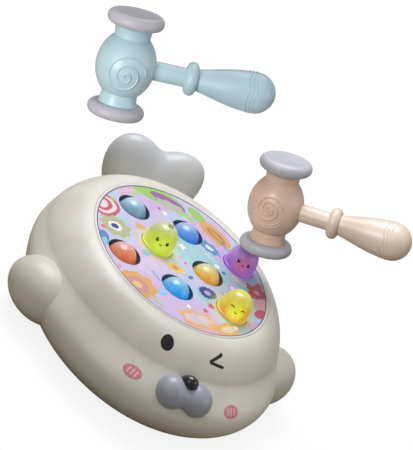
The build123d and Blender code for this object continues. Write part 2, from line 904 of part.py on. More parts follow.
with BuildPart() as slide_switch:
    with BuildSketch(Plane.XY.offset(floor_thickness)):
        with Locations((knob_across, knob_along)):
            Rectangle(
                flange_width + 2 * (knob_fit + slide_switch_wall),
                flange_length + knob_travel + 2 * (knob_fit + slide_switch_wall),
            )
    extrude(amount=slide_switch_height)
    with BuildSketch(Plane.XY.offset(floor_thickness)):
        with Locations((knob_across, knob_along)):
            Rectangle(flange_width + 2 * knob_fit, flange_length + knob_travel + 2 * knob_fit)
    extrude(amount=knob_top - floor_thickness + knob_fit, mode=Mode.SUBTRACT)
save(slide_switch.part, "slide_switch")


# Muzzle and nose
def muzzle_form(grow):
    """Both lobes of the muzzle, each larger all round by an amount."""
    place = (muzzle_lobe_across, muzzle_along, muzzle_centre_height)
    return mirrored(bell_ball(place, muzzle_lobe_radius + grow, muzzle_lobe_half_depth + grow, face_tilt))


with BuildPart() as muzzle:
    add(muzzle_form(0))
    add(trim_cutter, mode=Mode.SUBTRACT)
    for place in muzzle_pegs:
        add(peg(place, inward_y_axis, muzzle_peg_radius, muzzle_peg_length))
save(muzzle.part, "muzzle")

with BuildPart() as nose:
    add(
        lobe(
            nose_place, nose_half_width, nose_half_depth, turn=face_tilt, flatten=nose_half_height / nose_half_width
        )
    )
    add(trim_cutter, mode=Mode.SUBTRACT)
    add(peg(nose_place, inward_y_axis, nose_peg_radius, nose_peg_length))
    add(muzzle_form(form_gap), mode=Mode.SUBTRACT)
save(nose.part, "nose")

# Flippers
for side, name in ((-1, "right_flipper"), (1, "left_flipper")):
    with BuildPart() as flipper:
        add(flipper_form(side, 0))
        add(flipper_form(side, trim_wall), mode=Mode.SUBTRACT)
        add(trim_cutter, mode=Mode.SUBTRACT)
        add(peg(flipper_pegs[side], (-side, 0, 0), plug_radius, flipper_peg_length))
    save(flipper.part, name)


# Tail
with BuildPart() as tail:
    add(mirrored(tail_lobe(0)))
    add(mirrored(tail_lobe(trim_wall)), mode=Mode.SUBTRACT)
    add(trim_cutter, mode=Mode.SUBTRACT)
    add(peg(tail_peg, outward_y_axis, plug_radius, tail_peg_length))
save(tail.part, "tail")


def hammer(name, centre, head_way, handle_way):
    """Toy hammer: hollow head with two striking pads, and a handle with a ring and a swelling grip."""
    along = Vector(*handle_way).normalized()
    across = along.cross(Vector(*head_way)).normalized()
    up = across.cross(along)
    side_plane = Plane(origin=centre, x_dir=along, z_dir=across)
    head_axis = Axis(centre, up)
    handle_axis = Axis(centre, along)
    neck_end = head_length / 2 - pad_thickness
    neck_start = bulb_half_height * (1 - (neck_radius / bulb_radius) ** 2) ** 0.5
    inner_bulb = (bulb_radius - head_wall, bulb_half_height - head_wall)
    inner_neck = neck_radius - head_wall
    inner_start = inner_bulb[1] * (1 - (inner_neck / inner_bulb[0]) ** 2) ** 0.5
    bulb_angle = degrees(asin(neck_start / bulb_half_height))
    inner_angle = degrees(asin(inner_start / inner_bulb[1]))

    with BuildPart() as head:
        with BuildSketch(side_plane):
            with BuildLine():
                EllipticalCenterArc(
                    (0, 0), bulb_radius, bulb_half_height, start_angle=-bulb_angle, arc_size=2 * bulb_angle
                )
                EllipticalCenterArc((0, 0), *inner_bulb, start_angle=-inner_angle, arc_size=2 * inner_angle)
                for side in (-1, 1):
                    Polyline(
                        (neck_radius, side * neck_start),
                        (neck_radius, side * neck_end),
                        (inner_neck, side * neck_end),
                        (inner_neck, side * inner_start),
                    )
            make_face()
        revolve(axis=head_axis)
        with BuildSketch(Plane(origin=centre, z_dir=along)):
            Circle(handle_socket_radius + pad_fit)
        extrude(amount=bulb_radius + overrun, mode=Mode.SUBTRACT)
    save(head.part, f"{name}_hammer_head")

    for pad_name, way in (("lower", -1), ("upper", 1)):
        rim = pad_thickness / 2
        with BuildPart() as pad:
            with BuildSketch(side_plane):
                with BuildLine():
                    Line((0, way * neck_end), (pad_radius - rim, way * neck_end))
                    ThreePointArc(
                        (pad_radius - rim, way * neck_end),
                        (pad_radius, way * (neck_end + rim)),
                        (pad_radius - rim, way * (neck_end + pad_thickness)),
                    )
                    Polyline(
                        (pad_radius - rim, way * (neck_end + pad_thickness)),
                        (0, way * (neck_end + pad_thickness)),
                        (0, way * neck_end),
                    )
                make_face()
                with BuildLine():
                    Polyline(
                        (0, way * neck_end),
                        (inner_neck - pad_fit, way * neck_end),
                        (inner_neck - pad_fit, way * (neck_end - pad_spigot_length)),
                        (0, way * (neck_end - pad_spigot_length)),
                        close=True,
                    )
                make_face()
            revolve(axis=head_axis)
        save(pad.part, f"{name}_hammer_{pad_name}_pad")

    tenon_start = bulb_radius - handle_tenon_length
    shaft_start = bulb_radius * (1 - (handle_socket_radius / bulb_half_height) ** 2) ** 0.5 + pad_fit
    ring_start = handle_ring_place - handle_ring_half_width
    ring_end = handle_ring_place + handle_ring_half_width
    grip_cap = handle_reach - handle_grip_radius
    with BuildPart() as handle:
        with BuildSketch(side_plane):
            with BuildLine():
                Polyline(
                    (tenon_start, 0),
                    (tenon_start, handle_socket_radius),
                    (shaft_start, handle_socket_radius),
                    (shaft_start, handle_shaft_radius),
                    (ring_start, handle_shaft_radius),
                    (ring_start, handle_ring_radius - handle_ring_half_width),
                )
                ThreePointArc(
                    (ring_start, handle_ring_radius - handle_ring_half_width),
                    (handle_ring_place, handle_ring_radius),
                    (ring_end, handle_ring_radius - handle_ring_half_width),
                )
                Spline(
                    (ring_end, handle_ring_radius - handle_ring_half_width),
                    (handle_grip_waist_place, handle_grip_waist_radius),
                    (grip_cap, handle_grip_radius),
                    tangents=[(1, 0), (1, 0)],
                )
                RadiusArc((grip_cap, handle_grip_radius), (handle_reach, 0), handle_grip_radius)
                Line((handle_reach, 0), (tenon_start, 0))
            make_face()
        revolve(axis=handle_axis)
        with BuildSketch(side_plane):
            with BuildLine():
                Spline(
                    (ring_end, handle_shaft_radius - handle_wall),
                    (handle_grip_waist_place, handle_grip_waist_radius - handle_wall),
                    (grip_cap, handle_grip_radius - handle_wall),
                    tangents=[(1, 0), (1, 0)],
                )
                RadiusArc(
                    (grip_cap, handle_grip_radius - handle_wall),
                    (handle_reach - handle_wall, 0),
                    handle_grip_radius - handle_wall,
                )
                Polyline(
                    (handle_reach - handle_wall, 0),
                    (tenon_start, 0),
                    (tenon_start, handle_socket_radius - handle_wall),
                    (ring_start, handle_socket_radius - handle_wall),
                    (ring_end, handle_shaft_radius - handle_wall),
                )
            make_face()
        revolve(axis=handle_axis, mode=Mode.SUBTRACT)
    save(handle.part, f"{name}_hammer_handle")


# Hammers
hammer("pink", pink_head_place, pink_head_axis, pink_handle_axis)
hammer("blue", blue_head_place, blue_head_axis, blue_handle_axis)
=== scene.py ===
"""Looks of the mole pounding game: a seal-shaped case, its lit moles and printed deck, and two hammers.

Sizes in this file are in millimetres in the part's own frame, and MM turns them to metres.
"""

import json
import logging
import math
from collections.abc import Callable
from dataclasses import dataclass, field
from enum import Enum
from functools import partial
from typing import ClassVar

import bmesh
import bpy
import numpy as np
from mathutils import Matrix

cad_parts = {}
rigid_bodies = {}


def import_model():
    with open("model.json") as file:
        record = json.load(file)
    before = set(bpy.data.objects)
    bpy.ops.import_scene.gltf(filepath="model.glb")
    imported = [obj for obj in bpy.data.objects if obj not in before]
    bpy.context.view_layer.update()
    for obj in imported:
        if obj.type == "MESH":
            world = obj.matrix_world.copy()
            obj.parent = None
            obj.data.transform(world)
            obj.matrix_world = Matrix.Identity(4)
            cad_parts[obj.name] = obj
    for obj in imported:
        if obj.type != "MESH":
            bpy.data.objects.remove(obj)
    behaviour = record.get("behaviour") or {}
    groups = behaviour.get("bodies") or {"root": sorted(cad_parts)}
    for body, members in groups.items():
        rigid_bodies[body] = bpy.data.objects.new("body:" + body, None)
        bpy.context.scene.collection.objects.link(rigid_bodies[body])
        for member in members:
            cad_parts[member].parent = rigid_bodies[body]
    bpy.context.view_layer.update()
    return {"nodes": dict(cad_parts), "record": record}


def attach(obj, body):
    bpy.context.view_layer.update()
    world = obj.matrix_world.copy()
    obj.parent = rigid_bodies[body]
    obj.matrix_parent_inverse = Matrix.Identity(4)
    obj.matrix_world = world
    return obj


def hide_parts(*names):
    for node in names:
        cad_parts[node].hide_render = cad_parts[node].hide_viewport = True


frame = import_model()

LOG = logging.getLogger("seal_game")
MM = 0.001
DECK_TOP = 67.5
UPRIGHT = np.array([0, 0, 1.0])
EAST = np.array([1.0, 0, 0])
VIEWER_WAY = (-0.415849, -0.77648, 0.473444)
SMOOTH = {"interpolation_type": "SMOOTHSTEP"}
COLOURS = {"data_type": "RGBA"}
Pair = tuple[float, float]
Spot = tuple[float, float, float]
Socket = bpy.types.NodeSocket
# A mapping puts a drawing's points (across, along, lift) on a surface
Mapping = Callable[[np.ndarray, np.ndarray, np.ndarray], np.ndarray]


# Materials


def linear(colour: str) -> tuple[float, float, float, float]:
    """Turn an sRGB hex colour into linear RGBA.

    Args:
        colour: Hex text such as "#d9d4c8".

    Returns:
        Linear red, green and blue with full alpha.
    """
    parts = [int(colour[i : i + 2], 16) / 255 for i in (1, 3, 5)]
    return tuple(c / 12.92 if c <= 0.04045 else ((c + 0.055) / 1.055) ** 2.4 for c in parts) + (1.0,)


def feed(node: bpy.types.Node, sockets: dict) -> None:
    """Fill a node's sockets: outputs are linked, hex colours are made linear, other values are set.

    Args:
        node: The node.
        sockets: Socket name or number to what it gets.
    """
    for name, value in sockets.items():
        if isinstance(value, Socket):
            node.id_data.links.new(value, node.inputs[name])
        else:
            node.inputs[name].default_value = linear(value) if isinstance(value, str) else value


def add_node(tree: bpy.types.NodeTree, kind: str, sockets: dict | tuple = (), **settings) -> list[Socket]:
    """Add one node with its settings and fill its sockets.

    Args:
        tree: The node tree.
        kind: The node's type name after "ShaderNode".
        sockets: Socket name or number to what it gets, or what the first sockets get in order.
        **settings: Properties of the node itself.

    Returns:
        The node's outputs.
    """
    node = tree.nodes.new(f"ShaderNode{kind}")
    for name, value in settings.items():
        setattr(node, name, value)
    feed(node, sockets if isinstance(sockets, dict) else dict(enumerate(sockets)))
    return node.outputs


def metres(spot: Spot) -> Spot:
    """A place in metres."""
    return tuple(v * MM for v in spot)


def lumps(size_mm: float) -> float:
    """Scale of a noise whose lumps have a real size."""
    return 1 / (size_mm * MM)


def fill_ramp(ramp: bpy.types.ColorRamp, stops: dict[float, str]) -> None:
    """Give a colour ramp its stops.

    Args:
        ramp: A new ramp, which has two stops.
        stops: Places from low to high, each with a hex colour.
    """
    first, *between, last = stops
    ramp.elements[0].position = first
    ramp.elements[1].position = last
    for place in between:
        ramp.elements.new(place)
    for element, colour in zip(ramp.elements, stops.values()):
        element.color = linear(colour)


@dataclass(frozen=True)
class Finish:
    """A material and how its surface was made. Each kind says what the shader's sockets get."""

    name: str
    relief_mm: ClassVar[Pair] = (1.0, 0.0)
    relief_octaves: ClassVar[float] = 2.0

    def make(self) -> bpy.types.Material:
        """Build the material.

        Returns:
            The material: its own sockets, and a relief whose lumps have the size and depth of relief_mm.
        """
        material = bpy.data.materials.new(self.name)
        material.use_nodes = True
        add = partial(add_node, material.node_tree)
        shader = next(n for n in material.node_tree.nodes if n.type == "BSDF_PRINCIPLED")
        coords = add("TexCoord")["Object"]
        feed(shader, self.sockets(add, coords))
        size, depth = self.relief_mm
        if depth:
            noise = {"Vector": coords, "Scale": lumps(size), "Detail": self.relief_octaves}
            height = add("TexNoise", noise)[0]
            normal = add("Bump", {"Distance": depth * MM, "Strength": 1.0, "Height": height})[0]
            feed(shader, {"Normal": normal})
        return material

    def sockets(self, add: Callable, coords: Socket) -> dict:
        """What the shader's sockets get, from nodes that add() puts in and Object coordinates."""
        raise NotImplementedError


@dataclass(frozen=True)
class TwoTone(Finish):
    """A finish whose colour drifts between two near tones, as lumps of a noise."""

    colour: str
    shade: str
    roughness: float = 0.36
    drift_mm: float = 4.0
    drift_octaves: ClassVar[float] = 4.0
    drift_span: ClassVar[Pair] = (0.4, 0.75)

    def sockets(self, add: Callable, coords: Socket) -> dict:
        """The drifting colour, and an even gloss."""
        noise = {"Vector": coords, "Scale": lumps(self.drift_mm), "Detail": self.drift_octaves}
        share = add("MapRange", (add("TexNoise", noise)[0], *self.drift_span, 0, 1), **SMOOTH)[0]
        colour = add("Mix", {0: share, 6: self.colour, 7: self.shade}, **COLOURS)[2]
        return {"Base Color": colour, "Roughness": self.roughness}


@dataclass(frozen=True)
class MouldedPlastic(TwoTone):
    """Injection-moulded ABS from a polished or eroded tool: even colour, soft gloss, faint flow marks."""

    roughness: float = 0.4
    drift_mm: float = 38.0
    coat: float = 0.0
    drift_octaves: ClassVar[float] = 2.0
    drift_span: ClassVar[Pair] = (0.35, 0.65)
    relief_mm: ClassVar[Pair] = (1.1, 0.012)

    def sockets(self, add: Callable, coords: Socket) -> dict:
        """Two tones that drift over tens of millimetres, and a gloss that wanders with them."""
        marks = add("TexNoise", {"Vector": coords, "Scale": lumps(self.drift_mm / 3)})[0]
        span = (marks, 0.3, 0.7, self.roughness - 0.03, self.roughness + 0.04)
        gloss = add("MapRange", span, **SMOOTH)[0]
        more = {"Roughness": gloss, "IOR": 1.53, "Coat Weight": self.coat, "Coat Roughness": 0.12}
        return super().sockets(add, coords) | more


@dataclass(frozen=True)
class Ink(TwoTone):
    """Pad-printed or screened ink: flat colour, mottled as a print screen clumps it, with a thin gloss."""

    relief_mm: ClassVar[Pair] = (0.6, 0.006)


@dataclass(frozen=True)
class MouldedRubber(TwoTone):
    """Moulded rubber: matt, with pits of half a millimetre and a bloom of dust."""

    roughness: float = 0.82
    drift_mm: float = 6.0
    drift_span: ClassVar[Pair] = (0.45, 0.8)
    relief_mm: ClassVar[Pair] = (0.5, 0.03)
    relief_octaves: ClassVar[float] = 3.0


@dataclass(frozen=True)
class PlatedSteel(Finish):
    """Zinc-plated or nickel-plated steel: pale metal whose gloss varies over a millimetre."""

    colour: str
    roughness: float = 0.32
    dull: str = "#8f9196"

    def sockets(self, add: Callable, coords: Socket) -> dict:
        """Metal of two tones under a gloss that varies as plating does."""
        clouds = add("TexNoise", {"Vector": coords, "Scale": lumps(1.4), "Detail": 3.0})[0]
        marks = add("TexNoise", {"Vector": coords, "Scale": lumps(0.9)})[0]
        span = (marks, 0.3, 0.7, self.roughness - 0.06, self.roughness + 0.1)
        return {
            "Metallic": 1.0,
            "Base Color": add("Mix", {0: clouds, 6: self.colour, 7: self.dull}, **COLOURS)[2],
            "Roughness": add("MapRange", span, **SMOOTH)[0],
        }


@dataclass(frozen=True)
class GlowingPlastic(Finish):
    """Milky translucent PP over a lamp: pale where it catches the room's light, saturated where it glows."""

    crown: str
    flank: str
    foot: str
    strength: float
    middle: Spot
    reach: float
    # spot and spot_place: a patch on a raised mole's face side, partly a tint of its own and partly a painted
    # hot spot of light
    spot: str
    spot_place: Spot
    lean: Spot = (-0.12, 0.55, 0.83)
    spot_span: Pair = (2.5, 9.5)
    relief_mm: ClassVar[Pair] = (2.5, 0.01)

    def sockets(self, add: Callable, coords: Socket) -> dict:
        """A tone that runs along a leaning line through the cap, from the lamp's side to the crown.

        Args:
            add: Adds a node.
            coords: Object coordinates.

        Returns:
            What the shader's sockets get.
        """
        centred = add("VectorMath", (coords, metres(self.middle)), operation="SUBTRACT")[0]
        along = add("VectorMath", (centred, self.lean), operation="DOT_PRODUCT")[1]
        place = add("MapRange", (along, -self.reach * MM, self.reach * MM, 0, 1), **SMOOTH)[0]
        tone = add("ValToRGB", (place,))[0]
        fill_ramp(tone.node.color_ramp, {0.12: self.foot, 0.5: self.flank, 0.92: self.crown})
        # Mix in the face-side patch: partly the cap's own tint, partly a painted hot spot of light
        if self.spot:
            away = add("VectorMath", (coords, metres(self.spot_place)), operation="DISTANCE")[1]
            near, far = self.spot_span
            share = add("MapRange", (away, near * MM, far * MM, 0.9, 0), **SMOOTH)[0]
            tone = add("Mix", {0: share, 6: tone, 7: self.spot}, **COLOURS)[2]
        clouds = add("TexNoise", {"Vector": coords, "Scale": lumps(9.0)})[0]
        milk = add("MapRange", (clouds, 0.4, 0.9, 0, 0.12), **SMOOTH)[0]
        glow = (place, 0, 0.85, self.strength, self.strength * 0.12)
        return {
            "Base Color": add("Mix", {0: milk, 6: tone, 7: "#ffffff"}, **COLOURS)[2],
            "Emission Color": tone,
            "Emission Strength": add("MapRange", glow, **SMOOTH)[0],
            "Roughness": 0.3,
            "IOR": 1.49,
            "Subsurface Weight": 0.25,
            "Subsurface Radius": (0.004, 0.004, 0.004),
            "Subsurface Scale": 1.0,
            "Coat Weight": 0.35,
            "Coat Roughness": 0.14,
        }


@dataclass(frozen=True)
class Spill:
    """Light that a lit mole throws on the deck round its hole."""

    place: Pair
    colour: str
    share: float


@dataclass(frozen=True)
class Painted:
    """One broad form of the deck's print: an oval, scalloped where it has petals."""

    place: Pair
    half: Pair
    turn: float
    colour: str
    petals: int = 0
    depth: float = 0.1


@dataclass(frozen=True)
class PrintedFilm(Finish):
    """Printed PET film: pastel washes and broad painted forms under a gloss coat, tinted by the lamps."""

    washes: tuple[str, ...]
    forms: tuple[Painted, ...]
    spills: tuple[Spill, ...]
    wash_mm: float = 40.0
    wash_span: Pair = (0.32, 0.68)
    sway_mm: float = 3.4
    sway_lump_mm: float = 11.0
    outline_mm: float = 0.3
    spill_span: Pair = (13.0, 22.0)
    mottle: str = "#8f83a0"
    # Painted shade on the panel's faces below the deck top, where the hole walls fall in shadow
    edge_shade: str = "#565a74"
    edge_shade_span: Pair = (0.3, 0.1)
    relief_mm: ClassVar[Pair] = (1.6, 0.008)

    def paint(self, add: Callable, coords: Socket, colour: Socket, form: Painted) -> Socket:
        """Lay one form over the colour so far.

        The form is where the length of the coordinates, turned and divided by its half sizes, is below one.
        Petals add a cosine of the angle to that edge.

        Args:
            add: Adds a node.
            coords: Coordinates, swayed a little so that outlines look drawn by hand.
            colour: Output of the colour below.
            form: The form.

        Returns:
            The new colour's output.
        """
        size = {
            "Vector": coords,
            "Location": metres((*form.place, DECK_TOP)),
            "Rotation": (0, 0, math.radians(form.turn)),
            "Scale": (form.half[0] * MM, form.half[1] * MM, 1.0),
        }
        local = add("Mapping", size, vector_type="TEXTURE")[0]
        away = add("VectorMath", (local,), operation="LENGTH")[1]
        if form.petals:
            parts = add("SeparateXYZ", (local,))
            angle = add("Math", (parts[1], parts[0]), operation="ARCTAN2")[0]
            turns = add("Math", (angle, form.petals), operation="MULTIPLY")[0]
            wave = add("Math", (turns,), operation="COSINE")[0]
            away = add("Math", (wave, -form.depth, away), operation="MULTIPLY_ADD")[0]
        soft = self.outline_mm / min(form.half)
        share = add("MapRange", (away, 1 - soft, 1 + soft, 1, 0), **SMOOTH)[0]
        return add("Mix", {0: share, 6: colour, 7: form.colour}, **COLOURS)[2]

    def sockets(self, add: Callable, coords: Socket) -> dict:
        """Washes as soft blotches, then forms, a halo of each lamp's colour, mottle, and painted shade on the
        cut faces below the deck top.

        Args:
            add: Adds a node.
            coords: Object coordinates.

        Returns:
            What the shader's sockets get.
        """
        blotches = add("TexNoise", {"Vector": coords, "Scale": lumps(self.wash_mm), "Detail": 1.0})[0]
        colour = add("ValToRGB", (blotches,))[0]
        colour.node.color_ramp.interpolation = "EASE"
        stops = np.linspace(*self.wash_span, len(self.washes)).tolist()
        fill_ramp(colour.node.color_ramp, dict(zip(stops, self.washes)))
        noise = add("TexNoise", {"Vector": coords, "Scale": lumps(self.sway_lump_mm), "Detail": 1.0})[1]
        sway = self.sway_mm * MM
        shift = add("VectorMath", (noise, (sway,) * 3, (-sway / 2,) * 3), operation="MULTIPLY_ADD")[0]
        swayed = add("VectorMath", (coords, shift), operation="ADD")[0]
        for form in self.forms:
            colour = self.paint(add, swayed, colour, form)
        near, far = metres(self.spill_span)
        for spill in self.spills:
            centre = metres((*spill.place, DECK_TOP))
            away = add("VectorMath", (coords, centre), operation="DISTANCE")[1]
            share = add("MapRange", (away, near, far, spill.share, 0), **SMOOTH)[0]
            colour = add("Mix", {0: share, 6: colour, 7: spill.colour}, **COLOURS)[2]
        clumps = add("TexNoise", {"Vector": coords, "Scale": lumps(5.0), "Detail": 3.0})[0]
        share = add("MapRange", (clumps, 0.4, 0.75, 0, 0.12), **SMOOTH)[0]
        colour = add("Mix", {0: share, 6: colour, 7: self.mottle}, **COLOURS)[2]
        # Painted shade: the panel's faces below the deck top, its hole walls among them, darken to this
        # colour
        low, high = [(DECK_TOP - depth) * MM for depth in self.edge_shade_span]
        edge = add("MapRange", (add("SeparateXYZ", (coords,))[2], low, high, 1, 0), **SMOOTH)[0]
        return {
            "Base Color": add("Mix", {0: edge, 6: colour, 7: self.edge_shade}, **COLOURS)[2],
            "Roughness": 0.34,
            "Coat Weight": 0.2,
            "Coat Roughness": 0.12,
        }


# Finishes of this game


class Shell(Enum):
    """Plain moulded finishes, by where they are used."""

    BODY = MouldedPlastic("satin_abs_body", "#dad5ca", "#d3cdc0", 0.42)
    # The flippers are the body's plastic; their darker tone is painted shade
    FLIPPER = MouldedPlastic("satin_abs_flipper", "#d3cdc0", "#ccc5b7", 0.42)
    # The tail is a cooler grey of its own, made darker still as painted shade
    TAIL = MouldedPlastic("satin_abs_tail", "#c8c8c4", "#bec0c1", 0.4)
    MUZZLE = MouldedPlastic("gloss_abs_muzzle", "#a0a2ac", "#989aa5", 0.33)
    NOSE = MouldedPlastic("gloss_abs_nose", "#16161a", "#1d1c20", 0.14, coat=0.5)
    RIM = MouldedPlastic("gloss_abs_rim", "#dedad8", "#d8d4d2", 0.42)
    INNER = MouldedPlastic("natural_abs_inside", "#e6e4de", "#dfdcd4", 0.5)
    # Dark well liners round the mole holes: painted shade that stands for the shadow deep in the holes
    WELL = MouldedPlastic("smoked_abs_well", "#686d8c", "#5c617c", 0.5)
    DARK = MouldedPlastic("black_abs_switch", "#2b2b2e", "#333236", 0.45)
    BOARD = MouldedPlastic("solder_mask_board", "#2f6b45", "#2a6040", 0.35, 12.0, 0.2)
    CELL = MouldedPlastic("printed_cell_sleeve", "#5b6f8c", "#54677f", 0.3, 20.0, 0.3)
    SPEAKER = MouldedPlastic("painted_speaker_frame", "#4a4b50", "#434449", 0.5, 9.0)
    LENS = MouldedPlastic("clear_lamp_lens", "#f0efe8", "#e6e5dc", 0.12, 6.0, 0.6)
    PINK_HAMMER = MouldedPlastic("satin_abs_peach", "#d9bba8", "#d1b09c", 0.38, coat=0.08)
    PINK_GRIP = MouldedPlastic("satin_abs_peach_pale", "#d6c4b4", "#cdb6a3", 0.38, coat=0.08)
    BLUE_HAMMER = MouldedPlastic("satin_abs_aqua", "#b8d4dc", "#adc9d3", 0.38, coat=0.08)
    PINK_PAD = MouldedPlastic("soft_pvc_grey", "#b4b3b9", "#abaab1", 0.44)
    BLUE_PAD = MouldedPlastic("soft_pvc_lilac", "#c1bec8", "#b9b6c1", 0.44)


class Fitting(Enum):
    """Plated steels and the feet's rubber."""

    SCREW = PlatedSteel("zinc_plated_screw", "#b3b5ba")
    CONTACT = PlatedSteel("nickel_plated_contact", "#c9c7c0", 0.26)
    FOOT = MouldedRubber("moulded_rubber_foot", "#3a393b", "#4d4b4c")


class InkTone(Enum):
    """Inks of the face and the deck."""

    BLACK = Ink("ink_black", "#060607", "#0a090b", 0.6)
    BLUSH = Ink("ink_blush", "#cf8590", "#c77c88")
    BLUSH_LIGHT = Ink("ink_blush_light", "#e6bcbf", "#e0b3b7")
    WHITE = Ink("ink_white", "#f3f1f4", "#ecebef")
    LINE = Ink("ink_outline_grey", "#6c6a76", "#62616c")
    CORAL = Ink("ink_coral", "#d9606c", "#cf5564")
    ROSE = Ink("ink_rose", "#e8a3b4", "#e39aac")
    ORANGE = Ink("ink_orange", "#efb066", "#e9a556")
    LEAF = Ink("ink_leaf_green", "#9bd867", "#8fcd5b")
    SAGE = Ink("ink_sage", "#b9c9a6", "#afc09b")
    SEA = Ink("ink_sea_blue", "#4788bd", "#3d7db3")
    SKY = Ink("ink_sky_blue", "#8cc9e8", "#80bfe0")
    PLUM = Ink("ink_plum", "#a764a3", "#9c5a99")
    LILAC = Ink("ink_lilac", "#cbaee8", "#c2a3e1")


@dataclass
class FinishShelf:
    """Makes each finish once and hands it out."""

    made: dict[str, bpy.types.Material] = field(default_factory=dict)

    def get(self, finish: Finish | Enum) -> bpy.types.Material:
        """Find a finish's material, made on first use.

        Args:
            finish: The finish, or the name it has in an Enum.

        Returns:
            The material.
        """
        recipe = finish.value if isinstance(finish, Enum) else finish
        if recipe.name not in self.made:
            self.made[recipe.name] = recipe.make()
        return self.made[recipe.name]

    def put_on(self, node: bpy.types.Object, finish: Finish | Enum) -> None:
        """Give an object a finish in place of what it has."""
        node.data.materials.clear()
        node.data.materials.append(self.get(finish))


SHELF = FinishShelf()


# Shapes


class Closing(Enum):
    """How a grid of points closes on itself: whether its rows and its columns run round."""

    RING = (True, True)
    POLES = (False, True)
    LINE = (True, False)


def grid_faces(shape: tuple[int, int], closing: Closing, start: int) -> np.ndarray:
    """Quads of a grid of points: each point with its next in the row, in the column and in both.

    Args:
        shape: Number of rows and of columns.
        closing: How the grid closes.
        start: Number of the grid's first point.

    Returns:
        Rows of four point numbers.
    """
    (rows, columns), (wrap_rows, wrap_columns) = shape, closing.value
    i = np.arange(rows if wrap_rows else rows - 1)[:, None]
    j = np.arange(columns if wrap_columns else columns - 1)[None, :]
    i2, j2 = (i + 1) % rows, (j + 1) % columns
    quads = np.broadcast_arrays(i * columns + j, i * columns + j2, i2 * columns + j2, i2 * columns + j)
    return np.stack(quads, -1).reshape(-1, 4) + start


def make_piece(
    name: str,
    grids: list[np.ndarray],
    closing: Closing,
    home: tuple[str, str],
    finish: Finish | Enum,
    replaced: str = "",
    sharp_deg: float = 42.0,
) -> None:
    """Make a piece from grids of points, and give it its finish and body.

    Seams and poles are merged, faces turned outward, and all is smooth but for sharp edges.

    Args:
        name: The piece's name.
        grids: Arrays of rows, columns and x, y, z in millimetres.
        closing: How each grid closes.
        home: CAD body that it rides on, and its material slot in the record, which is not used.
        finish: Its finish.
        replaced: CAD node that it stands for, whose place and motion it takes.
        sharp_deg: Edges that turn more than this stay sharp.
    """
    starts = np.cumsum([0] + [grid.shape[0] * grid.shape[1] for grid in grids])
    faces = [grid_faces(grid.shape[:2], closing, start) for grid, start in zip(grids, starts)]
    points = np.concatenate([grid.reshape(-1, 3) for grid in grids])
    mesh = bpy.data.meshes.new(name)
    mesh.from_pydata((points * MM).tolist(), [], np.concatenate(faces).tolist())
    work = bmesh.new()
    work.from_mesh(mesh)
    bmesh.ops.remove_doubles(work, verts=work.verts, dist=2e-7)
    bmesh.ops.dissolve_degenerate(work, edges=work.edges, dist=1e-8)
    bmesh.ops.recalc_face_normals(work, faces=work.faces)
    work.to_mesh(mesh)
    work.free()
    mesh.shade_smooth()
    mesh.set_sharp_from_angle(angle=math.radians(sharp_deg))
    piece = bpy.data.objects.new(name, mesh)
    bpy.context.scene.collection.objects.link(piece)
    SHELF.put_on(piece, finish)
    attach(piece, home[0])
    if replaced:
        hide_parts(replaced)
    LOG.info("%s: %d faces on %s", name, len(mesh.polygons), home[0])


def unit(way: np.ndarray | Spot) -> np.ndarray:
    """Direction of length one."""
    return np.array(way) / np.linalg.norm(way)


def round_turns(count: int) -> np.ndarray:
    """Angles evenly round a circle, without its start a second time."""
    return np.linspace(0, 2 * np.pi, count, endpoint=False)


def oval_radius(half: Pair, turns: np.ndarray) -> np.ndarray:
    """Radius of an oval at each angle: one over the length of (cosine / width, sine / height)."""
    return 1 / np.hypot(np.cos(turns) / half[0], np.sin(turns) / half[1])


def bow(centre: Pair, half: Pair, turns: np.ndarray) -> np.ndarray:
    """Points of an oval's arc: a centre plus half sizes times the cosine and sine of each angle."""
    return np.stack([centre[0] + half[0] * np.cos(turns), centre[1] + half[1] * np.sin(turns)], 1)


def polar(radius: np.ndarray, angle: np.ndarray, height: np.ndarray | float) -> np.ndarray:
    """Points at a radius, an angle and a height: radius times cosine and sine, then the height."""
    return np.stack(np.broadcast_arrays(radius * np.cos(angle), radius * np.sin(angle), height), -1)


def far_root(a: np.ndarray, b: np.ndarray, k: np.ndarray, missed: float) -> np.ndarray:
    """Larger root of a x squared + b x + k, or a given value where it has none."""
    inside = b * b - 4 * a * k
    return np.where(inside > 0, (-b + np.sqrt(np.clip(inside, 0, None))) / (2 * a), missed)


def soft_larger(first: np.ndarray, second: np.ndarray, soft: float) -> np.ndarray:
    """Larger of two values, raised by a parabola where they are nearer than a length."""
    near = np.clip(soft - np.abs(first - second), 0, None)
    return np.maximum(first, second) + near * near / (4 * soft)


def spun(
    profile: np.ndarray, count: int, place: np.ndarray, axis: np.ndarray, side: np.ndarray
) -> np.ndarray:
    """Turn a profile about an axis: each profile point (radius, height) runs round a circle.

    Args:
        profile: Rows of radius and height along the axis.
        count: Points round the circle.
        place: Point on the axis at height 0.
        axis: Unit vector along the axis.
        side: Unit vector square to the axis.

    Returns:
        Grid of profile rows by circle columns.
    """
    turn = round_turns(count)[:, None]
    spoke = np.cos(turn) * side + np.sin(turn) * np.cross(axis, side)
    return place + profile[:, 1, None, None] * axis + profile[:, 0, None, None] * spoke


def lobe_grid(place: Spot, half: Spot, turn: np.ndarray = np.eye(3), count: int = 72) -> np.ndarray:
    """Ellipsoid from pole to pole: half sizes times the unit ball, turned and put in place.

    Args:
        place: Centre.
        half: Half width, half depth and half height.
        turn: Rotation matrix.
        count: Points round it.

    Returns:
        Grid of latitude rows by longitude columns.
    """
    rise = np.linspace(-np.pi / 2, np.pi / 2, count // 2 + 1)[:, None]
    ball = polar(np.cos(rise), round_turns(count), np.sin(rise))
    return (ball * np.array(half)) @ turn.T + np.array(place)


def rotation(axis: str, degrees: float) -> np.ndarray:
    """Rotation matrix about the frame's "x", "y" or "z" axis, by the right-hand rule."""
    return np.array(Matrix.Rotation(math.radians(degrees), 3, axis.upper()))


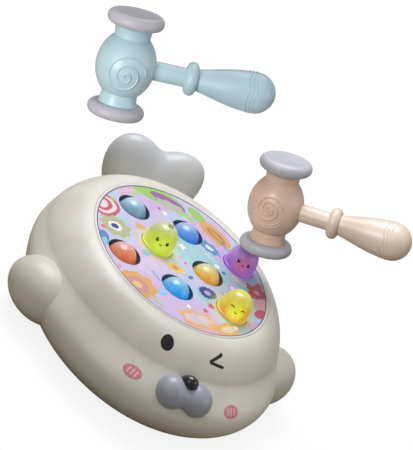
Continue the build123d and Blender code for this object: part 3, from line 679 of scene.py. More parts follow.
def patch_grid(
    mapping: Mapping, radii: np.ndarray, turns: np.ndarray, centre: Pair, height: float
) -> np.ndarray:
    """Thin patch on a surface: an outline given as radius by angle, filled by rings and closed underneath.

    The rings run from the middle to the outline at full height, round over the edge, and come back below.

    Args:
        mapping: Puts the drawing on the surface.
        radii: Outline radius at each turn.
        turns: Angles of the outline.
        centre: Patch centre in the drawing.
        height: How far it stands proud.

    Returns:
        Grid of ring rows by outline columns.
    """
    shares = np.array([0, 0.25, 0.5, 0.75, 0.93, 1.0, 1.0, 0.5, 0.0])[:, None]
    lifts = np.array([1, 1, 1, 1, 0.92, 0.55, -0.6, -0.6, -0.6])[:, None] * height
    u = centre[0] + shares * radii * np.cos(turns)
    v = centre[1] + shares * radii * np.sin(turns)
    return mapping(u, v, lifts + 0 * u)


def stroke_grid(mapping: Mapping, path: np.ndarray, width: float | np.ndarray, height: float) -> np.ndarray:
    """Raised line on a surface: a path carried with a round-topped section, its ends drawn in round.

    Args:
        mapping: Puts the drawing on the surface.
        path: Rows of points in the drawing.
        width: Full width, one value or one for each point.
        height: How far it stands proud.

    Returns:
        Grid of section rows by path columns, closed round its section.
    """
    steps = np.linalg.norm(np.diff(path, axis=0), axis=1)
    run = np.concatenate([[0], np.cumsum(steps)])
    half = np.broadcast_to(np.asarray(width, float) / 2, run.shape)
    end = np.minimum(run, run[-1] - run)
    cap = np.sqrt(np.clip(1 - (1 - np.clip(end / np.maximum(half, 1e-6), 0, 1)) ** 2, 0, 1))
    half = half * np.where(end < half, cap, 1)
    ahead = np.gradient(path, axis=0)
    ahead /= np.maximum(np.linalg.norm(ahead, axis=1, keepdims=True), 1e-9)
    aside = np.stack([-ahead[:, 1], ahead[:, 0]], 1)
    across = np.array([-1, -0.8, -0.4, 0, 0.4, 0.8, 1, 0.5, -0.5])
    lift = np.array([-0.3, 0.65, 0.95, 1, 0.95, 0.65, -0.3, -0.5, -0.5]) * height
    flat = path[None] + across[:, None, None] * (half[:, None] * aside)[None]
    return mapping(flat[..., 0], flat[..., 1], lift[:, None] + 0 * flat[..., 0])


# The seal's body


@dataclass
class SealSkin:
    """Outer skin of the case: the wider of two egg-shaped forms at each height, blended where they cross.

    At a height each form is an ellipse, and a ray from the middle meets it where a quadratic is zero.
    """

    upper_half: Pair = (99.3, 114.0)
    upper_waist: float = 30.7
    upper_rise: float = 59.9
    upper_under: float = 37.5
    shoulder: float = 60.0
    run_out: float = 8.0
    lower_half: Pair = (103.7, 119.8)
    lower_waist: float = 24.9
    lower_rise: float = 35.5
    lower_under: float = 48.9
    set_back: float = 11.3
    blend: float = 9.0
    drawn_heights: Pair = (8.5, 67.3)

    @staticmethod
    def share(height: np.ndarray, waist: float, rise: float, under: float) -> np.ndarray:
        """Share of the full width that an ellipse keeps at a height."""
        off = np.where(height > waist, (height - waist) / rise, (height - waist) / under)
        return np.sqrt(np.clip(1 - off * off, 0, None))

    def upper_radius(self, height: np.ndarray) -> np.ndarray:
        """Half width of the upper form, which runs out level at the deck along a parabola.

        Args:
            height: Height above the underside.

        Returns:
            The half width.
        """
        wide = self.upper_half[0]
        flank = wide * self.share(height, self.upper_waist, self.upper_rise, self.upper_under)
        start = wide * math.sqrt(1 - ((self.shoulder - self.upper_waist) / self.upper_rise) ** 2)
        slope = -((wide / self.upper_rise) ** 2) * (self.shoulder - self.upper_waist) / start
        crest = start + slope * (DECK_TOP - self.shoulder)
        t = 1 - np.sqrt(np.clip((DECK_TOP - height) / (DECK_TOP - self.shoulder), 0, 1))
        shoulder = (1 - t) ** 2 * start + 2 * t * (1 - t) * crest + t * t * (crest - self.run_out)
        return np.where(height > self.shoulder, shoulder, flank)

    def radius(self, angle: np.ndarray, height: np.ndarray) -> np.ndarray:
        """Distance of the skin from the middle line.

        Args:
            angle: Direction round the middle, from +X.
            height: Height above the underside.

        Returns:
            The blended radius.
        """
        c, s = np.cos(angle), np.sin(angle)
        wide, long = self.upper_half
        upper = self.upper_radius(height) / np.sqrt(c * c + (wide / long * s) ** 2)
        wide, long = self.lower_half
        left = self.share(height, self.lower_waist, self.lower_rise, self.lower_under)
        a = (c / wide) ** 2 + (s / long) ** 2
        b = 2 * self.set_back * s / long**2
        lower = far_root(a, b, (self.set_back / long) ** 2 - left**2, -1e3)
        return soft_larger(upper, lower, self.blend)

    def point(self, angle: np.ndarray, height: np.ndarray) -> np.ndarray:
        """Point of the skin at an angle and a height."""
        return polar(self.radius(angle, height), angle, height)

    def lifted(self, angle: np.ndarray, height: np.ndarray, lift: np.ndarray) -> np.ndarray:
        """Point off the skin along its outward normal, from differences along both ways.

        Args:
            angle: Direction round the middle.
            height: Height above the underside.
            lift: Distance off the skin.

        Returns:
            The point.
        """
        e = 1e-3
        across = self.point(angle + e, height) - self.point(angle - e, height)
        along = self.point(angle, height + e) - self.point(angle, height - e)
        normal = np.cross(across, along)
        normal /= np.linalg.norm(normal, axis=-1, keepdims=True)
        return self.point(angle, height) + np.asarray(lift)[..., None] * normal

    def plane_at(self, spot: Spot) -> Mapping:
        """Mapping of a small flat drawing onto the skin about a spot.

        Args:
            spot: A point on or near the skin.

        Returns:
            Function of (across, up the slope, lift) to a point.
        """
        angle, height = math.atan2(spot[1], spot[0]), spot[2]
        middle = self.point(angle, height)
        normal = self.lifted(angle, height, 1.0) - middle
        right = unit(np.cross(UPRIGHT, normal))
        up = np.cross(normal, right)

        def onto(u: np.ndarray, v: np.ndarray, lift: np.ndarray) -> np.ndarray:
            """Carry a drawing's point to the skin."""
            x, y, z = np.moveaxis(middle + u[..., None] * right + v[..., None] * up, -1, 0)
            return self.lifted(np.arctan2(y, x), np.clip(z, *self.drawn_heights), lift)

        return onto


@dataclass
class SealCase:
    """The case: its skin with the deck's recess, the sleeves under the moles, and the rim round the deck."""

    skin: SealSkin
    mole_places: list[Pair]
    parting: float = 8.0
    wall: float = 2.6
    recess: Pair = (73.4, 80.4)
    seat: float = 65.9
    inner_wall_top: float = 58.0
    hole: float = 13.1
    sleeve_wall: float = 1.6
    sleeve: tuple[float, float, float] = (65.9, 65.2, 49.0)
    rim_middle: Pair = (-1.1, 67.35)
    rim_half: Pair = (0.95, 0.62)
    rim_foot: float = 65.95
    line: tuple[Pair, Pair] = ((-2.75, -2.1), (67.35, 67.66))
    columns: int = 288

    def rim_radius(self, angle: np.ndarray, grow: float) -> np.ndarray:
        """Radius of the deck's oval at an angle, grown by an amount."""
        return oval_radius((self.recess[0] + grow, self.recess[1] + grow), angle)

    def rim_rows(self, section: list[Pair]) -> np.ndarray:
        """Carry a section of (growth of the deck's oval, height) points round the deck."""
        angle = round_turns(self.columns)
        return np.stack([polar(self.rim_radius(angle, grow), angle, z) for grow, z in section])

    def skin_grid(self) -> np.ndarray:
        """Closed loop of rows: up the skin, over the shoulder, down into the recess and down the inside.

        Returns:
            Grid of rows up and down by columns round the case.
        """
        angle = round_turns(self.columns)
        flank = np.linspace(self.parting, self.skin.shoulder, 110)[:, None]
        t = np.linspace(0.06, 1, 16)[:, None]
        height = DECK_TOP - (DECK_TOP - self.skin.shoulder) * (1 - t) ** 2
        free = self.skin.radius(angle, height)
        drawn_in = free + (self.rim_radius(angle, 0.25) - free[-1:]) * t**3
        under = [(-6, self.seat), (-6, self.seat - self.wall)]
        recess = [(0.05, DECK_TOP - 0.12), (0, DECK_TOP - 0.4), (0, self.seat), *under]
        down = np.linspace(self.inner_wall_top, self.parting, 40)[:, None]
        inside = self.skin.radius(angle, down) - self.wall * 1.1
        outside = [self.skin.point(angle, flank), polar(drawn_in, angle, height)]
        return np.concatenate([*outside, self.rim_rows(recess), polar(inside, angle, down)])

    def build(self) -> None:
        """Build and dress the case's own pieces."""
        home = ("case", "body_plastic")
        make_piece("seal_body", [self.skin_grid()], Closing.RING, home, Shell.BODY, "upper_shell")
        top, step, foot = self.sleeve
        near, far = self.hole, self.hole + self.sleeve_wall
        tube = np.array([(near, top), (near, step), (far, step), (far, foot), (near, foot)])
        sleeves = [spun(tube, 72, np.array([x, y, 0]), UPRIGHT, EAST) for x, y in self.mole_places]
        # The sleeves take a dark finish: painted shade inside the mole holes
        make_piece("mole_sleeves", sleeves, Closing.RING, ("case", "switch_plastic"), Shell.WELL)
        arch = bow(self.rim_middle, self.rim_half, np.linspace(0, np.pi, 9)).tolist()
        reach = [self.rim_middle[0] + way * self.rim_half[0] for way in (-1, 1)]
        section = [*arch, *[(grow, self.rim_foot) for grow in reach]]
        home = ("case", "rim_plastic")
        make_piece("deck_rim", [self.rim_rows(section)], Closing.RING, home, Shell.RIM, "panel_bezel")
        (inner, outer), (low, high) = self.line
        section = [(outer, low), (outer, high), (inner, high), (inner, low)]
        home = ("case", "printed_panel")
        make_piece("deck_outline", [self.rim_rows(section)], Closing.RING, home, InkTone.LINE)


@dataclass
class Limbs:
    """Flippers, tail, muzzle and nose, as rounded lobes that sink into the body."""

    flipper: Spot = (21.6, 29.0, 21.6)
    flipper_place: Spot = (94.2, -34.3, 21.8)
    flipper_sweep: float = -38.0
    tail_place: Spot = (9.4, 120.8, 43.3)
    tail_lobe: Spot = (25.9, 18.3, 38.9)
    tail_lean: float = 39.2
    tail_lean_back: float = 10.0
    tail_heart_rise: float = 4.0
    tail_blend: float = 9.0
    muzzle_place: Spot = (9.7, -120.0, 39.6)
    muzzle_lobe: Spot = (12.2, 12.2, 10.5)
    muzzle_blend: float = 7.5
    nose_place: Spot = (-0.5, -115.3, 47.4)
    nose_half: Spot = (7.1, 6.1, 9.0)
    face_tilt: float = 35.0
    missed: float = 0.1

    def blended(self, balls: list[tuple], middle: np.ndarray, soft: float, count: int) -> np.ndarray:
        """Skin over several ellipsoids seen from one middle: the farthest hit along each ray, softly joined.

        A ray from the middle meets an ellipsoid where a quadratic in its length is zero.

        Args:
            balls: Centre, half sizes and rotation of each ellipsoid.
            middle: Point inside all or near them.
            soft: Length over which neighbouring hits blend.
            count: Points round the skin.

        Returns:
            Grid of latitude rows by longitude columns.
        """
        ray = lobe_grid((0, 0, 0), (1, 1, 1), count=count)
        reach = None
        for place, half, turn in balls:
            start = ((middle - place) @ turn) / half
            way = (ray @ turn) / half
            hit = far_root((way * way).sum(-1), 2 * (way @ start), start @ start - 1, self.missed)
            reach = hit if reach is None else soft_larger(reach, hit, soft)
        return middle + reach[..., None] * ray

    def build(self) -> None:
        """Build and dress the limbs, the muzzle and the nose."""
        x, y, z = self.flipper_place
        home = ("case", "flipper_plastic")
        for side, name in ((-1, "right_flipper"), (1, "left_flipper")):
            grid = lobe_grid((side * x, y, z), self.flipper, rotation("z", side * self.flipper_sweep), 96)
            make_piece(f"{name}_skin", [grid], Closing.POLES, home, Shell.FLIPPER, name)
        tilt, back = rotation("x", self.face_tilt), rotation("x", -self.tail_lean_back)
        leans = {side: back @ rotation("y", side * self.tail_lean) for side in (-1, 1)}
        x, y, z = self.tail_place
        balls = [(np.array([side * x, y, z]), self.tail_lobe, lean) for side, lean in leans.items()]
        tail = self.blended(balls, np.array([0, y, z + self.tail_heart_rise]), self.tail_blend, 144)
        x, y, z = self.muzzle_place
        balls = [(np.array([side * x, y, z]), self.muzzle_lobe, tilt) for side in (-1, 1)]
        muzzle = self.blended(balls, np.array([0, y, z]), self.muzzle_blend, 192)
        for name, grid, finish in (("tail", tail, Shell.TAIL), ("muzzle", muzzle, Shell.MUZZLE)):
            make_piece(f"{name}_skin", [grid], Closing.POLES, ("case", f"{name}_plastic"), finish, name, 180)
        nose = lobe_grid(self.nose_place, self.nose_half, tilt, 64)
        make_piece("nose_skin", [nose], Closing.POLES, ("case", "nose_plastic"), Shell.NOSE, "nose")


@dataclass
class SealFace:
    """Printed marks of the face: an open eye, a shut eye and two striped cheeks."""

    skin: SealSkin
    eye: Spot = (-22.3, -96.0, 60.1)
    eye_half: Pair = (5.75, 4.8)
    eye_turn: float = 111.0
    wink: tuple[Spot, Spot, Spot] = ((21.7, -91.7, 63.5), (12.4, -98.8, 59.6), (25.4, -97.8, 57.3))
    wink_width: float = 2.4
    cheeks: tuple[tuple[Spot, float], ...] = (((-40.6, -114.2, 38.4), 4.0), ((42.3, -114.3, 36.2), 0.0))
    cheek_half: Pair = (7.4, 4.9)
    stripes: tuple[float, ...] = (-3.2, 0.0, 3.2)
    stripe_width: float = 1.5
    stripe_lean: float = 0.5
    stripe_share: float = 0.62
    stand: float = 0.12

    def oval(self, spot: Spot, half: Pair, turn_deg: float) -> np.ndarray:
        """Oval patch on the skin, long axis turned from level."""
        turns = round_turns(64)
        radii = oval_radius(half, turns - math.radians(turn_deg))
        return patch_grid(self.skin.plane_at(spot), radii, turns, (0, 0), self.stand)

    def shut_eye(self) -> list[np.ndarray]:
        """Two strokes from the eye's inner corner, whose ends are brought to its flat drawing.

        Returns:
            Grids of the strokes.
        """
        upper, corner, lower = np.array(self.wink)
        onto = self.skin.plane_at(self.wink[1])
        zero, right, up = onto(np.array([0, 1.0, 0]), np.array([0, 0, 1.0]), np.zeros(3))
        axes = np.stack([right - zero, up - zero], 1)
        ends = [np.linalg.lstsq(axes, tip - corner, rcond=None)[0] for tip in (upper, lower)]
        return [stroke_grid(onto, np.linspace((0, 0), end, 40), self.wink_width, self.stand) for end in ends]

    def cheek_stripes(self, spot: Spot) -> list[np.ndarray]:
        """Leaning strokes across a cheek, each as long as a share of the oval there.

        Args:
            spot: The cheek's middle.

        Returns:
            Grids of the strokes.
        """
        onto, (wide, high) = self.skin.plane_at(spot), self.cheek_half
        grids = []
        for place in self.stripes:
            reach = high * math.sqrt(1 - (place / wide) ** 2) * self.stripe_share
            ends = (place - self.stripe_lean, -reach), (place + self.stripe_lean, reach)
            grids.append(stroke_grid(onto, np.linspace(*ends, 24), self.stripe_width, self.stand * 1.7))
        return grids

    def build(self) -> None:
        """Build and dress the face's marks."""
        home = ("case", "nose_plastic")
        eye = self.oval(self.eye, self.eye_half, self.eye_turn)
        ovals = [self.oval(spot, self.cheek_half, lean) for spot, lean in self.cheeks]
        stripes = [grid for spot, _ in self.cheeks for grid in self.cheek_stripes(spot)]
        make_piece("open_eye", [eye], Closing.POLES, home, InkTone.BLACK)
        make_piece("shut_eye", self.shut_eye(), Closing.LINE, home, InkTone.BLACK)
        make_piece("cheek_ovals", ovals, Closing.POLES, home, InkTone.BLUSH)
        make_piece("cheek_stripes", stripes, Closing.LINE, home, InkTone.BLUSH_LIGHT)


# Moles


@dataclass(frozen=True)
class MoleLook:
    """One mole: its name, place on the deck before the field's turn, tones and whether it stands up lit."""

    name: str
    across: float
    along: float
    raised: bool
    crown: str
    flank: str
    foot: str
    strength: float
    face: str = ""
    # spot: colour of the face-side patch, partly the cap's own tint and partly a painted hot spot of light
    spot: str = ""


MOLES = (
    MoleLook("pale_blue", -44.7, 31.5, False, "#b6ced8", "#93b6c9", "#789fbf", 0.14),
    MoleLook("periwinkle", 0.0, 38.2, False, "#aeb8da", "#6f9fd4", "#3a86e4", 0.3),
    MoleLook("purple", 44.7, 31.5, True, "#c19ae0", "#b57dd0", "#9a5cc0", 0.36, "pout", "#c4679c"),
    MoleLook("green", -21.5, 0.0, True, "#c6cb92", "#c8da48", "#bfce34", 0.48, "calm", "#cdea3c"),
    MoleLook("gold", 21.5, 0.0, False, "#d2cca6", "#dbbd68", "#e4a838", 0.26),
    MoleLook("orange", -44.7, -31.5, False, "#dcb0ac", "#d88a66", "#e07240", 0.24),
    MoleLook("cyan", 0.0, -38.2, False, "#9cc4d4", "#56aad4", "#249cea", 0.34),
    MoleLook("yellow", 44.7, -31.5, True, "#ddd266", "#e2d430", "#d2a428", 0.46, "smile", "#f2f23c"),
)


@dataclass
class MoleSet:
    """The eight moles: bell caps with collars, and small faces on the raised ones."""

    turn_deg: float = -14.8
    collar: Pair = (12.7, 2.5)
    collar_round: float = 0.3
    dome: Pair = (12.1, 17.5)
    bluntness: float = 2.32
    wall: float = 1.4
    stand: float = 1.7
    travel: float = 13.5
    face_azimuth: float = -107.0
    face_rise: float = 0.42
    # Where the painted hot spot sits: out from the cap's middle toward the face, and its height
    spot_place: Pair = (11.0, 9.0)
    eye: Pair = (4.2, 0.3)
    eye_half: Pair = (1.25, 1.55)
    spark: Pair = (0.35, 0.6)
    spark_radius: float = 0.45
    shut_eye: Pair = (4.3, -0.4)
    shut_eye_radius: float = 1.7
    mouth_half: float = 1.3
    mouth_drop: float = 1.9
    line_stand: float = 0.14
    leaf_half: Spot = (2.2, 2.2, 2.0)
    leaf_stand: float = 0.6

    def place(self, mole: MoleLook) -> Pair:
        """Place of a mole after the field is turned."""
        c, s = math.cos(math.radians(self.turn_deg)), math.sin(math.radians(self.turn_deg))
        return (mole.across * c - mole.along * s, mole.across * s + mole.along * c)

    def foot(self, mole: MoleLook) -> float:
        """Height of the cap's foot."""
        return DECK_TOP + self.stand - self.collar[1] - (0 if mole.raised else self.travel)

    def bell(self, t: np.ndarray, inward: float = 0.0) -> tuple[np.ndarray, np.ndarray]:
        """Radius and rise of the bell: half sizes times the cosine and sine to a power that blunts it."""
        (r, h), blunt = self.dome, 2 / self.bluntness
        return (r - inward) * np.cos(t) ** blunt, (h - inward) * np.sin(t) ** blunt

    def cap_profile(self) -> np.ndarray:
        """Radius and height from the dome's crown down outside, round the collar, and up inside.

        Returns:
            Rows of radius and height.
        """
        t = np.clip(np.linspace(np.pi / 2, 0, 40), 0, np.pi / 2)
        (r, _), (cr, ch), bend = self.dome, self.collar, self.collar_round
        outside = [(r + 0.05, ch + 0.12), (cr - bend, ch), (cr, ch - bend)]
        lip = [*outside, (cr, bend), (cr - bend, 0), (r - self.wall, 0)]
        rows = [np.stack(self.bell(turn, inward), 1) for turn, inward in ((t, 0.0), (t[::-1], self.wall))]
        outer, inner = [row + np.array([0, ch]) for row in rows]
        return np.concatenate([outer, lip, inner])

    def bell_map(self, mole: MoleLook) -> Mapping:
        """Mapping of a small drawing onto the side of a bell, about its face's middle.

        Args:
            mole: The mole.

        Returns:
            Function of (round the bell, up the slope, lift) to a point.
        """
        middle = np.array([*self.place(mole), self.foot(mole) + self.collar[1]])
        (r, h), power = self.dome, self.bluntness - 1
        start = math.asin(self.face_rise)
        pace = math.hypot(r * math.sin(start), h * math.cos(start))

        def onto(u: np.ndarray, v: np.ndarray, lift: np.ndarray) -> np.ndarray:
            """Carry a drawing's point to the bell: up the slope first, then round it and off it."""
            ring, rise = self.bell(np.clip(start + v / pace, 0.05, 1.5))
            spin = math.radians(self.face_azimuth) + u / np.maximum(ring, 2.0)
            nr, nz = (ring / r) ** power / r, (rise / h) ** power / h
            off = lift / np.hypot(nr, nz)
            return middle + polar(ring + off * nr, spin, rise + off * nz)

        return onto

    def build_face(self, mole: MoleLook) -> None:
        """Build and dress a mole's face: its eyes open with a spark or shut, and its mouth.

        Args:
            mole: The mole.
        """
        onto, turns = self.bell_map(mole), round_turns(28)
        half_turn = np.linspace(0.15 * np.pi, 0.85 * np.pi, 20)
        dark, sparks, lines = [], [], []
        for side in (-1, 1):
            if mole.face == "smile":
                across, rise = self.shut_eye
                path = bow((side * across, rise), (self.shut_eye_radius,) * 2, half_turn)
                lines.append(stroke_grid(onto, path, 0.8, self.line_stand))
            else:
                x, y = side * self.eye[0], self.eye[1]
                glint = (x + self.spark[0], y + self.spark[1])
                dark.append(patch_grid(onto, oval_radius(self.eye_half, turns), turns, (x, y), 0.12))
                sparks.append(patch_grid(onto, self.spark_radius + 0 * turns, turns, glint, 0.2))
        bend = {"calm": 0.7, "pout": -0.8, "smile": 1.0}[mole.face]
        mouth = bow((0, bend / 2 - self.mouth_drop), (self.mouth_half, -bend), half_turn)
        lines.append(stroke_grid(onto, mouth, 0.7, self.line_stand))
        name, home = mole.name, (f"{mole.name}_mole", "nose_plastic")
        if dark:
            rim = (home[0], "rim_plastic")
            make_piece(f"{name}_eyes", dark, Closing.POLES, home, InkTone.BLACK)
            make_piece(f"{name}_sparks", sparks, Closing.POLES, rim, InkTone.WHITE)
        make_piece(f"{name}_smile", lines, Closing.LINE, home, InkTone.BLACK)

    def build(self) -> None:
        """Build and dress every cap and face."""
        facing = math.radians(self.face_azimuth)
        out, rise = self.spot_place
        for mole in MOLES:
            x, y = self.place(mole)
            foot, name = self.foot(mole), mole.name
            height, reach = (0.45, 10.5) if mole.raised else (0.78, 8.0)
            middle = (x, y, foot + self.collar[1] + self.dome[1] * height)
            # Middle of the painted hot spot on the face side
            warm = (x + out * math.cos(facing), y + out * math.sin(facing), foot + rise)
            tones = (mole.crown, mole.flank, mole.foot, mole.strength)
            look = GlowingPlastic(f"milky_pp_{name}", *tones, middle, reach, mole.spot, warm)
            cap = spun(self.cap_profile(), 96, np.array([x, y, foot]), UPRIGHT, EAST)
            home = (f"{name}_mole", f"{name}_cap")
            make_piece(f"{name}_cap_skin", [cap], Closing.RING, home, look, f"{name}_mole_cap")
            if mole.face:
                self.build_face(mole)
            if name == "green":
                crown = foot + self.collar[1] + self.dome[1] + self.leaf_stand
                leaf = lobe_grid((x, y, crown), self.leaf_half, count=40)
                make_piece("green_leaf_nub", [leaf], Closing.POLES, home, look)


# Deck print


class Motif(Enum):
    """Small forms that the deck's print is made of."""

    PEBBLE = "pebble"
    STAR = "star"
    BUBBLE = "bubble"
    WAVE = "wave"
    LEAF = "leaf"


@dataclass(frozen=True)
class Printed:
    """One printed form: its kind, place, size, turn and ink, and how many points or swings it has."""

    motif: Motif
    place: Pair
    size: float
    turn: float
    ink: InkTone
    count: int = 6

    def radii(self, turns: np.ndarray) -> np.ndarray:
        """Radius of a filled motif at each angle.

        Args:
            turns: Angles from its centre.

        Returns:
            Radii: blunt-starred, pebble-like or round.
        """
        t = turns - math.radians(self.turn)
        if self.motif is Motif.STAR:
            return self.size * (0.5 + 0.5 * np.abs(np.cos(self.count * t / 2)) ** 1.6)
        if self.motif is Motif.PEBBLE:
            return self.size / (np.abs(np.cos(t)) ** 2.6 + np.abs(1.7 * np.sin(t)) ** 2.6) ** (1 / 2.6)
        return self.size + 0 * t

    def stroke(self) -> tuple[np.ndarray, np.ndarray | float]:
        """Middle line and width of a drawn motif.

        Returns:
            Rows of points and widths: a wave sways as a sine, and a leaf bows and swells to its middle.
        """
        run = np.linspace(-1, 1, 60)
        lean = math.radians(self.turn)
        ahead = np.array([math.cos(lean), math.sin(lean)])
        aside = np.array([-ahead[1], ahead[0]])
        sway, width = np.sin(run * math.pi * self.count / 2) * self.size * 0.14, self.size * 0.13
        if self.motif is Motif.LEAF:
            swell = 1 - run**2
            sway, width = 0.12 * self.size * swell, self.size * 0.62 * np.sqrt(swell) ** 1.3 + 0.1
        return np.array(self.place) + self.size * run[:, None] * ahead + sway[:, None] * aside, width


@dataclass
class DeckPrint:
    """Sea-garden pattern printed on the deck, drawn for this game: pebbles, stars, leaves and waves."""

    film: PrintedFilm
    items: tuple[Printed, ...]
    ink_stand: float = 0.06
    layer_step: float = 0.03
    layers: int = 6

    def build(self) -> None:
        """Build one thin piece for each ink, and dress the panel below."""
        SHELF.put_on(frame["nodes"]["play_panel"], self.film)
        turns = round_turns(72)
        inks: dict[tuple[str, InkTone], list[np.ndarray]] = {}
        for number, item in enumerate(self.items):
            base = DECK_TOP + self.layer_step * (number % self.layers)
            onto = partial(self.lay, base)
            if item.motif in (Motif.WAVE, Motif.LEAF):
                kind, grid = "lines", stroke_grid(onto, *item.stroke(), self.ink_stand)
            else:
                kind, grid = "shapes", patch_grid(onto, item.radii(turns), turns, item.place, self.ink_stand)
            inks.setdefault((kind, item.ink), []).append(grid)
        for wanted, closing in (("shapes", Closing.POLES), ("lines", Closing.LINE)):
            for (kind, ink), grids in inks.items():
                if kind == wanted:
                    name = f"deck_{kind}_{ink.name.lower()}"
                    make_piece(name, grids, closing, ("case", "printed_panel"), ink)

    @staticmethod
    def lay(base: float, u: np.ndarray, v: np.ndarray, lift: np.ndarray) -> np.ndarray:
        """Carry a drawing's points to the deck, at a layer's height."""
        return np.stack([u, v, base + lift], -1)


# Place, half sizes, turn, colour, and petals with their depth where it has them
DECK_FORMS = tuple(
    Painted(*row)
    for row in (
        ((18.0, 6.0), (24.0, 15.0), -30, "#a4ccd0"),
        ((-22.0, -22.0), (22.0, 10.0), 20, "#d3bedc"),
        ((-38.0, 62.0), (12.0, 7.0), 40, "#d7b6cc"),
        ((-61.0, 30.0), (14.0, 11.0), 60, "#c65561"),
        ((-61.5, 30.5), (11.6, 8.8), 60, "#e3d3d8"),
        ((-62.0, 31.0), (9.0, 6.4), 60, "#c65561"),
        ((-62.5, 31.5), (6.2, 3.8), 60, "#e3d3d8"),
        ((-55.5, 8.5), (12.4, 10.8), 15, "#b5b487", 9, 0.09),
        ((-55.5, 8.5), (6.0, 5.2), 15, "#e6e3e4"),
        ((-55.5, 8.5), (3.4, 3.0), 15, "#2d4480"),
        ((-69.0, -12.0), (10.0, 6.0), 70, "#5289b4"),
        ((-68.0, -15.0), (6.0, 3.0), 70, "#8fc0d8"),
        ((-12.0, 69.0), (23.0, 9.0), -4, "#9cc765"),
        ((-3.0, 66.5), (15.0, 6.4), -12, "#94639a"),
        ((-1.0, 62.0), (13.0, 5.0), -10, "#b9baa6", 7, 0.12),
        ((22.0, 64.0), (8.5, 6.0), -50, "#9cc765"),
        ((36.0, 48.0), (15.5, 8.4), -42, "#d9a462"),
        ((36.5, 47.5), (9.5, 3.8), -42, "#b07c46"),
        ((36.5, 47.5), (6.6, 1.6), -42, "#d9a462"),
        ((28.0, 28.0), (9.0, 5.4), -38, "#5f98c0", 8, 0.12),
        ((28.0, 28.0), (3.6, 2.4), -38, "#dfe3ea"),
        ((63.0, -6.0), (11.0, 8.6), 70, "#c75763", 5, 0.24),
        ((66.0, -20.0), (10.0, 7.0), 60, "#dfa7ae"),
        ((62.0, -31.0), (7.0, 4.4), 50, "#c75763"),
        ((17.0, -29.5), (7.2, 6.6), 0, "#2d4486", 15, 0.08),
        ((17.0, -29.5), (3.0, 2.7), 0, "#b3a6da"),
        ((-45.0, -52.0), (16.0, 14.0), 5, "#dba55f", 9, 0.07),
        ((-45.0, -52.0), (9.6, 8.4), 5, "#cf8f8c"),
        ((-45.0, -52.0), (4.0, 3.6), 5, "#e2c286", 6, 0.14),
        ((2.0, -67.0), (18.0, 9.6), 8, "#e2b182", 7, 0.12),
        ((3.0, -66.0), (11.0, 5.6), 8, "#dcc4c6", 7, 0.12),
        ((-20.0, -70.0), (12.0, 6.0), -24, "#cdb9dd"),
        ((28.0, -65.0), (13.0, 6.6), 30, "#e0aa6c"),
        ((29.0, -64.0), (8.0, 3.2), 30, "#e2cdb0"),
        ((54.0, -50.0), (9.0, 5.0), 52, "#c9a5cf"),
        ((-8.0, -14.5), (7.4, 6.0), 0, "#e0c06a", 8, 0.16),
        ((-8.0, -14.5), (3.0, 2.6), 0, "#d08c5a"),
        ((49.0, 1.0), (7.0, 4.0), -30, "#dcd9e4"),
        ((-15.0, 27.0), (9.0, 4.6), 30, "#cfa9cc"),
        ((-33.0, 20.0), (4.0, 3.2), 0, "#dfa15e", 5, 0.2),
        ((-31.0, -9.0), (5.4, 3.4), 40, "#7fb5d0", 6, 0.14),
    )
)

# Motif, place, size, turn, ink, and the count where it isn't six
DECK_ITEMS = tuple(
    Printed(Motif[kind], place, size, turn, InkTone[ink], *count)
    for kind, place, size, turn, ink, *count in (
        ("LEAF", (-32.0, 60.0), 7.0, 40, "SAGE"),
        ("LEAF", (12.0, 56.0), 7.0, -20, "LEAF"),
        ("WAVE", (45.0, 34.0), 8.0, -50, "SEA", 5),
        ("WAVE", (27.0, 15.5), 6.0, -35, "WHITE", 5),
        ("STAR", (-13.5, 24.5), 3.4, 20, "ORANGE", 5),
        ("BUBBLE", (63.0, -6.0), 2.6, 0, "ROSE"),
        ("STAR", (17.5, -44.0), 3.4, 0, "CORAL", 5),
        ("STAR", (11.5, -52.0), 2.6, 30, "CORAL", 5),
        ("WAVE", (-30.0, -29.0), 6.0, -50, "SKY", 4),
        ("WAVE", (-27.0, -33.0), 5.0, -50, "SEA", 4),
        ("LEAF", (-31.0, -63.0), 6.0, -30, "SAGE"),
        ("STAR", (2.0, 15.5), 3.6, 0, "WHITE", 4),
        ("BUBBLE", (31.0, 8.0), 2.4, 0, "WHITE"),
        ("BUBBLE", (36.0, 3.0), 1.8, 0, "SEA"),
        ("BUBBLE", (41.0, -12.0), 4.0, 0, "LILAC"),
        ("BUBBLE", (41.0, -12.0), 1.9, 0, "WHITE"),
        ("BUBBLE", (47.0, -20.0), 2.4, 0, "WHITE"),
        ("BUBBLE", (30.0, -23.0), 1.8, 0, "ROSE"),
        ("BUBBLE", (-8.0, 50.0), 2.2, 0, "WHITE"),
        ("BUBBLE", (-12.5, 53.5), 1.4, 0, "PLUM"),
        ("STAR", (-53.5, 42.0), 2.4, 0, "LEAF", 5),
        ("BUBBLE", (-66.5, 3.0), 1.6, 0, "CORAL"),
        ("STAR", (-3.0, -55.0), 2.4, 10, "WHITE", 4),
        ("BUBBLE", (-58.0, -38.0), 2.0, 0, "ROSE"),
        ("WAVE", (15.0, -73.0), 7.0, 14, "ROSE", 5),
        ("STAR", (36.0, -59.0), 2.4, 20, "WHITE", 4),
        ("BUBBLE", (-2.0, 1.0), 1.6, 0, "LILAC"),
        ("BUBBLE", (2.0, -3.5), 1.1, 0, "CORAL"),
        ("PEBBLE", (-24.0, -50.0), 4.0, 20, "SKY"),
        ("PEBBLE", (4.0, -19.0), 2.6, 40, "SEA"),
    )
)


# Hammers


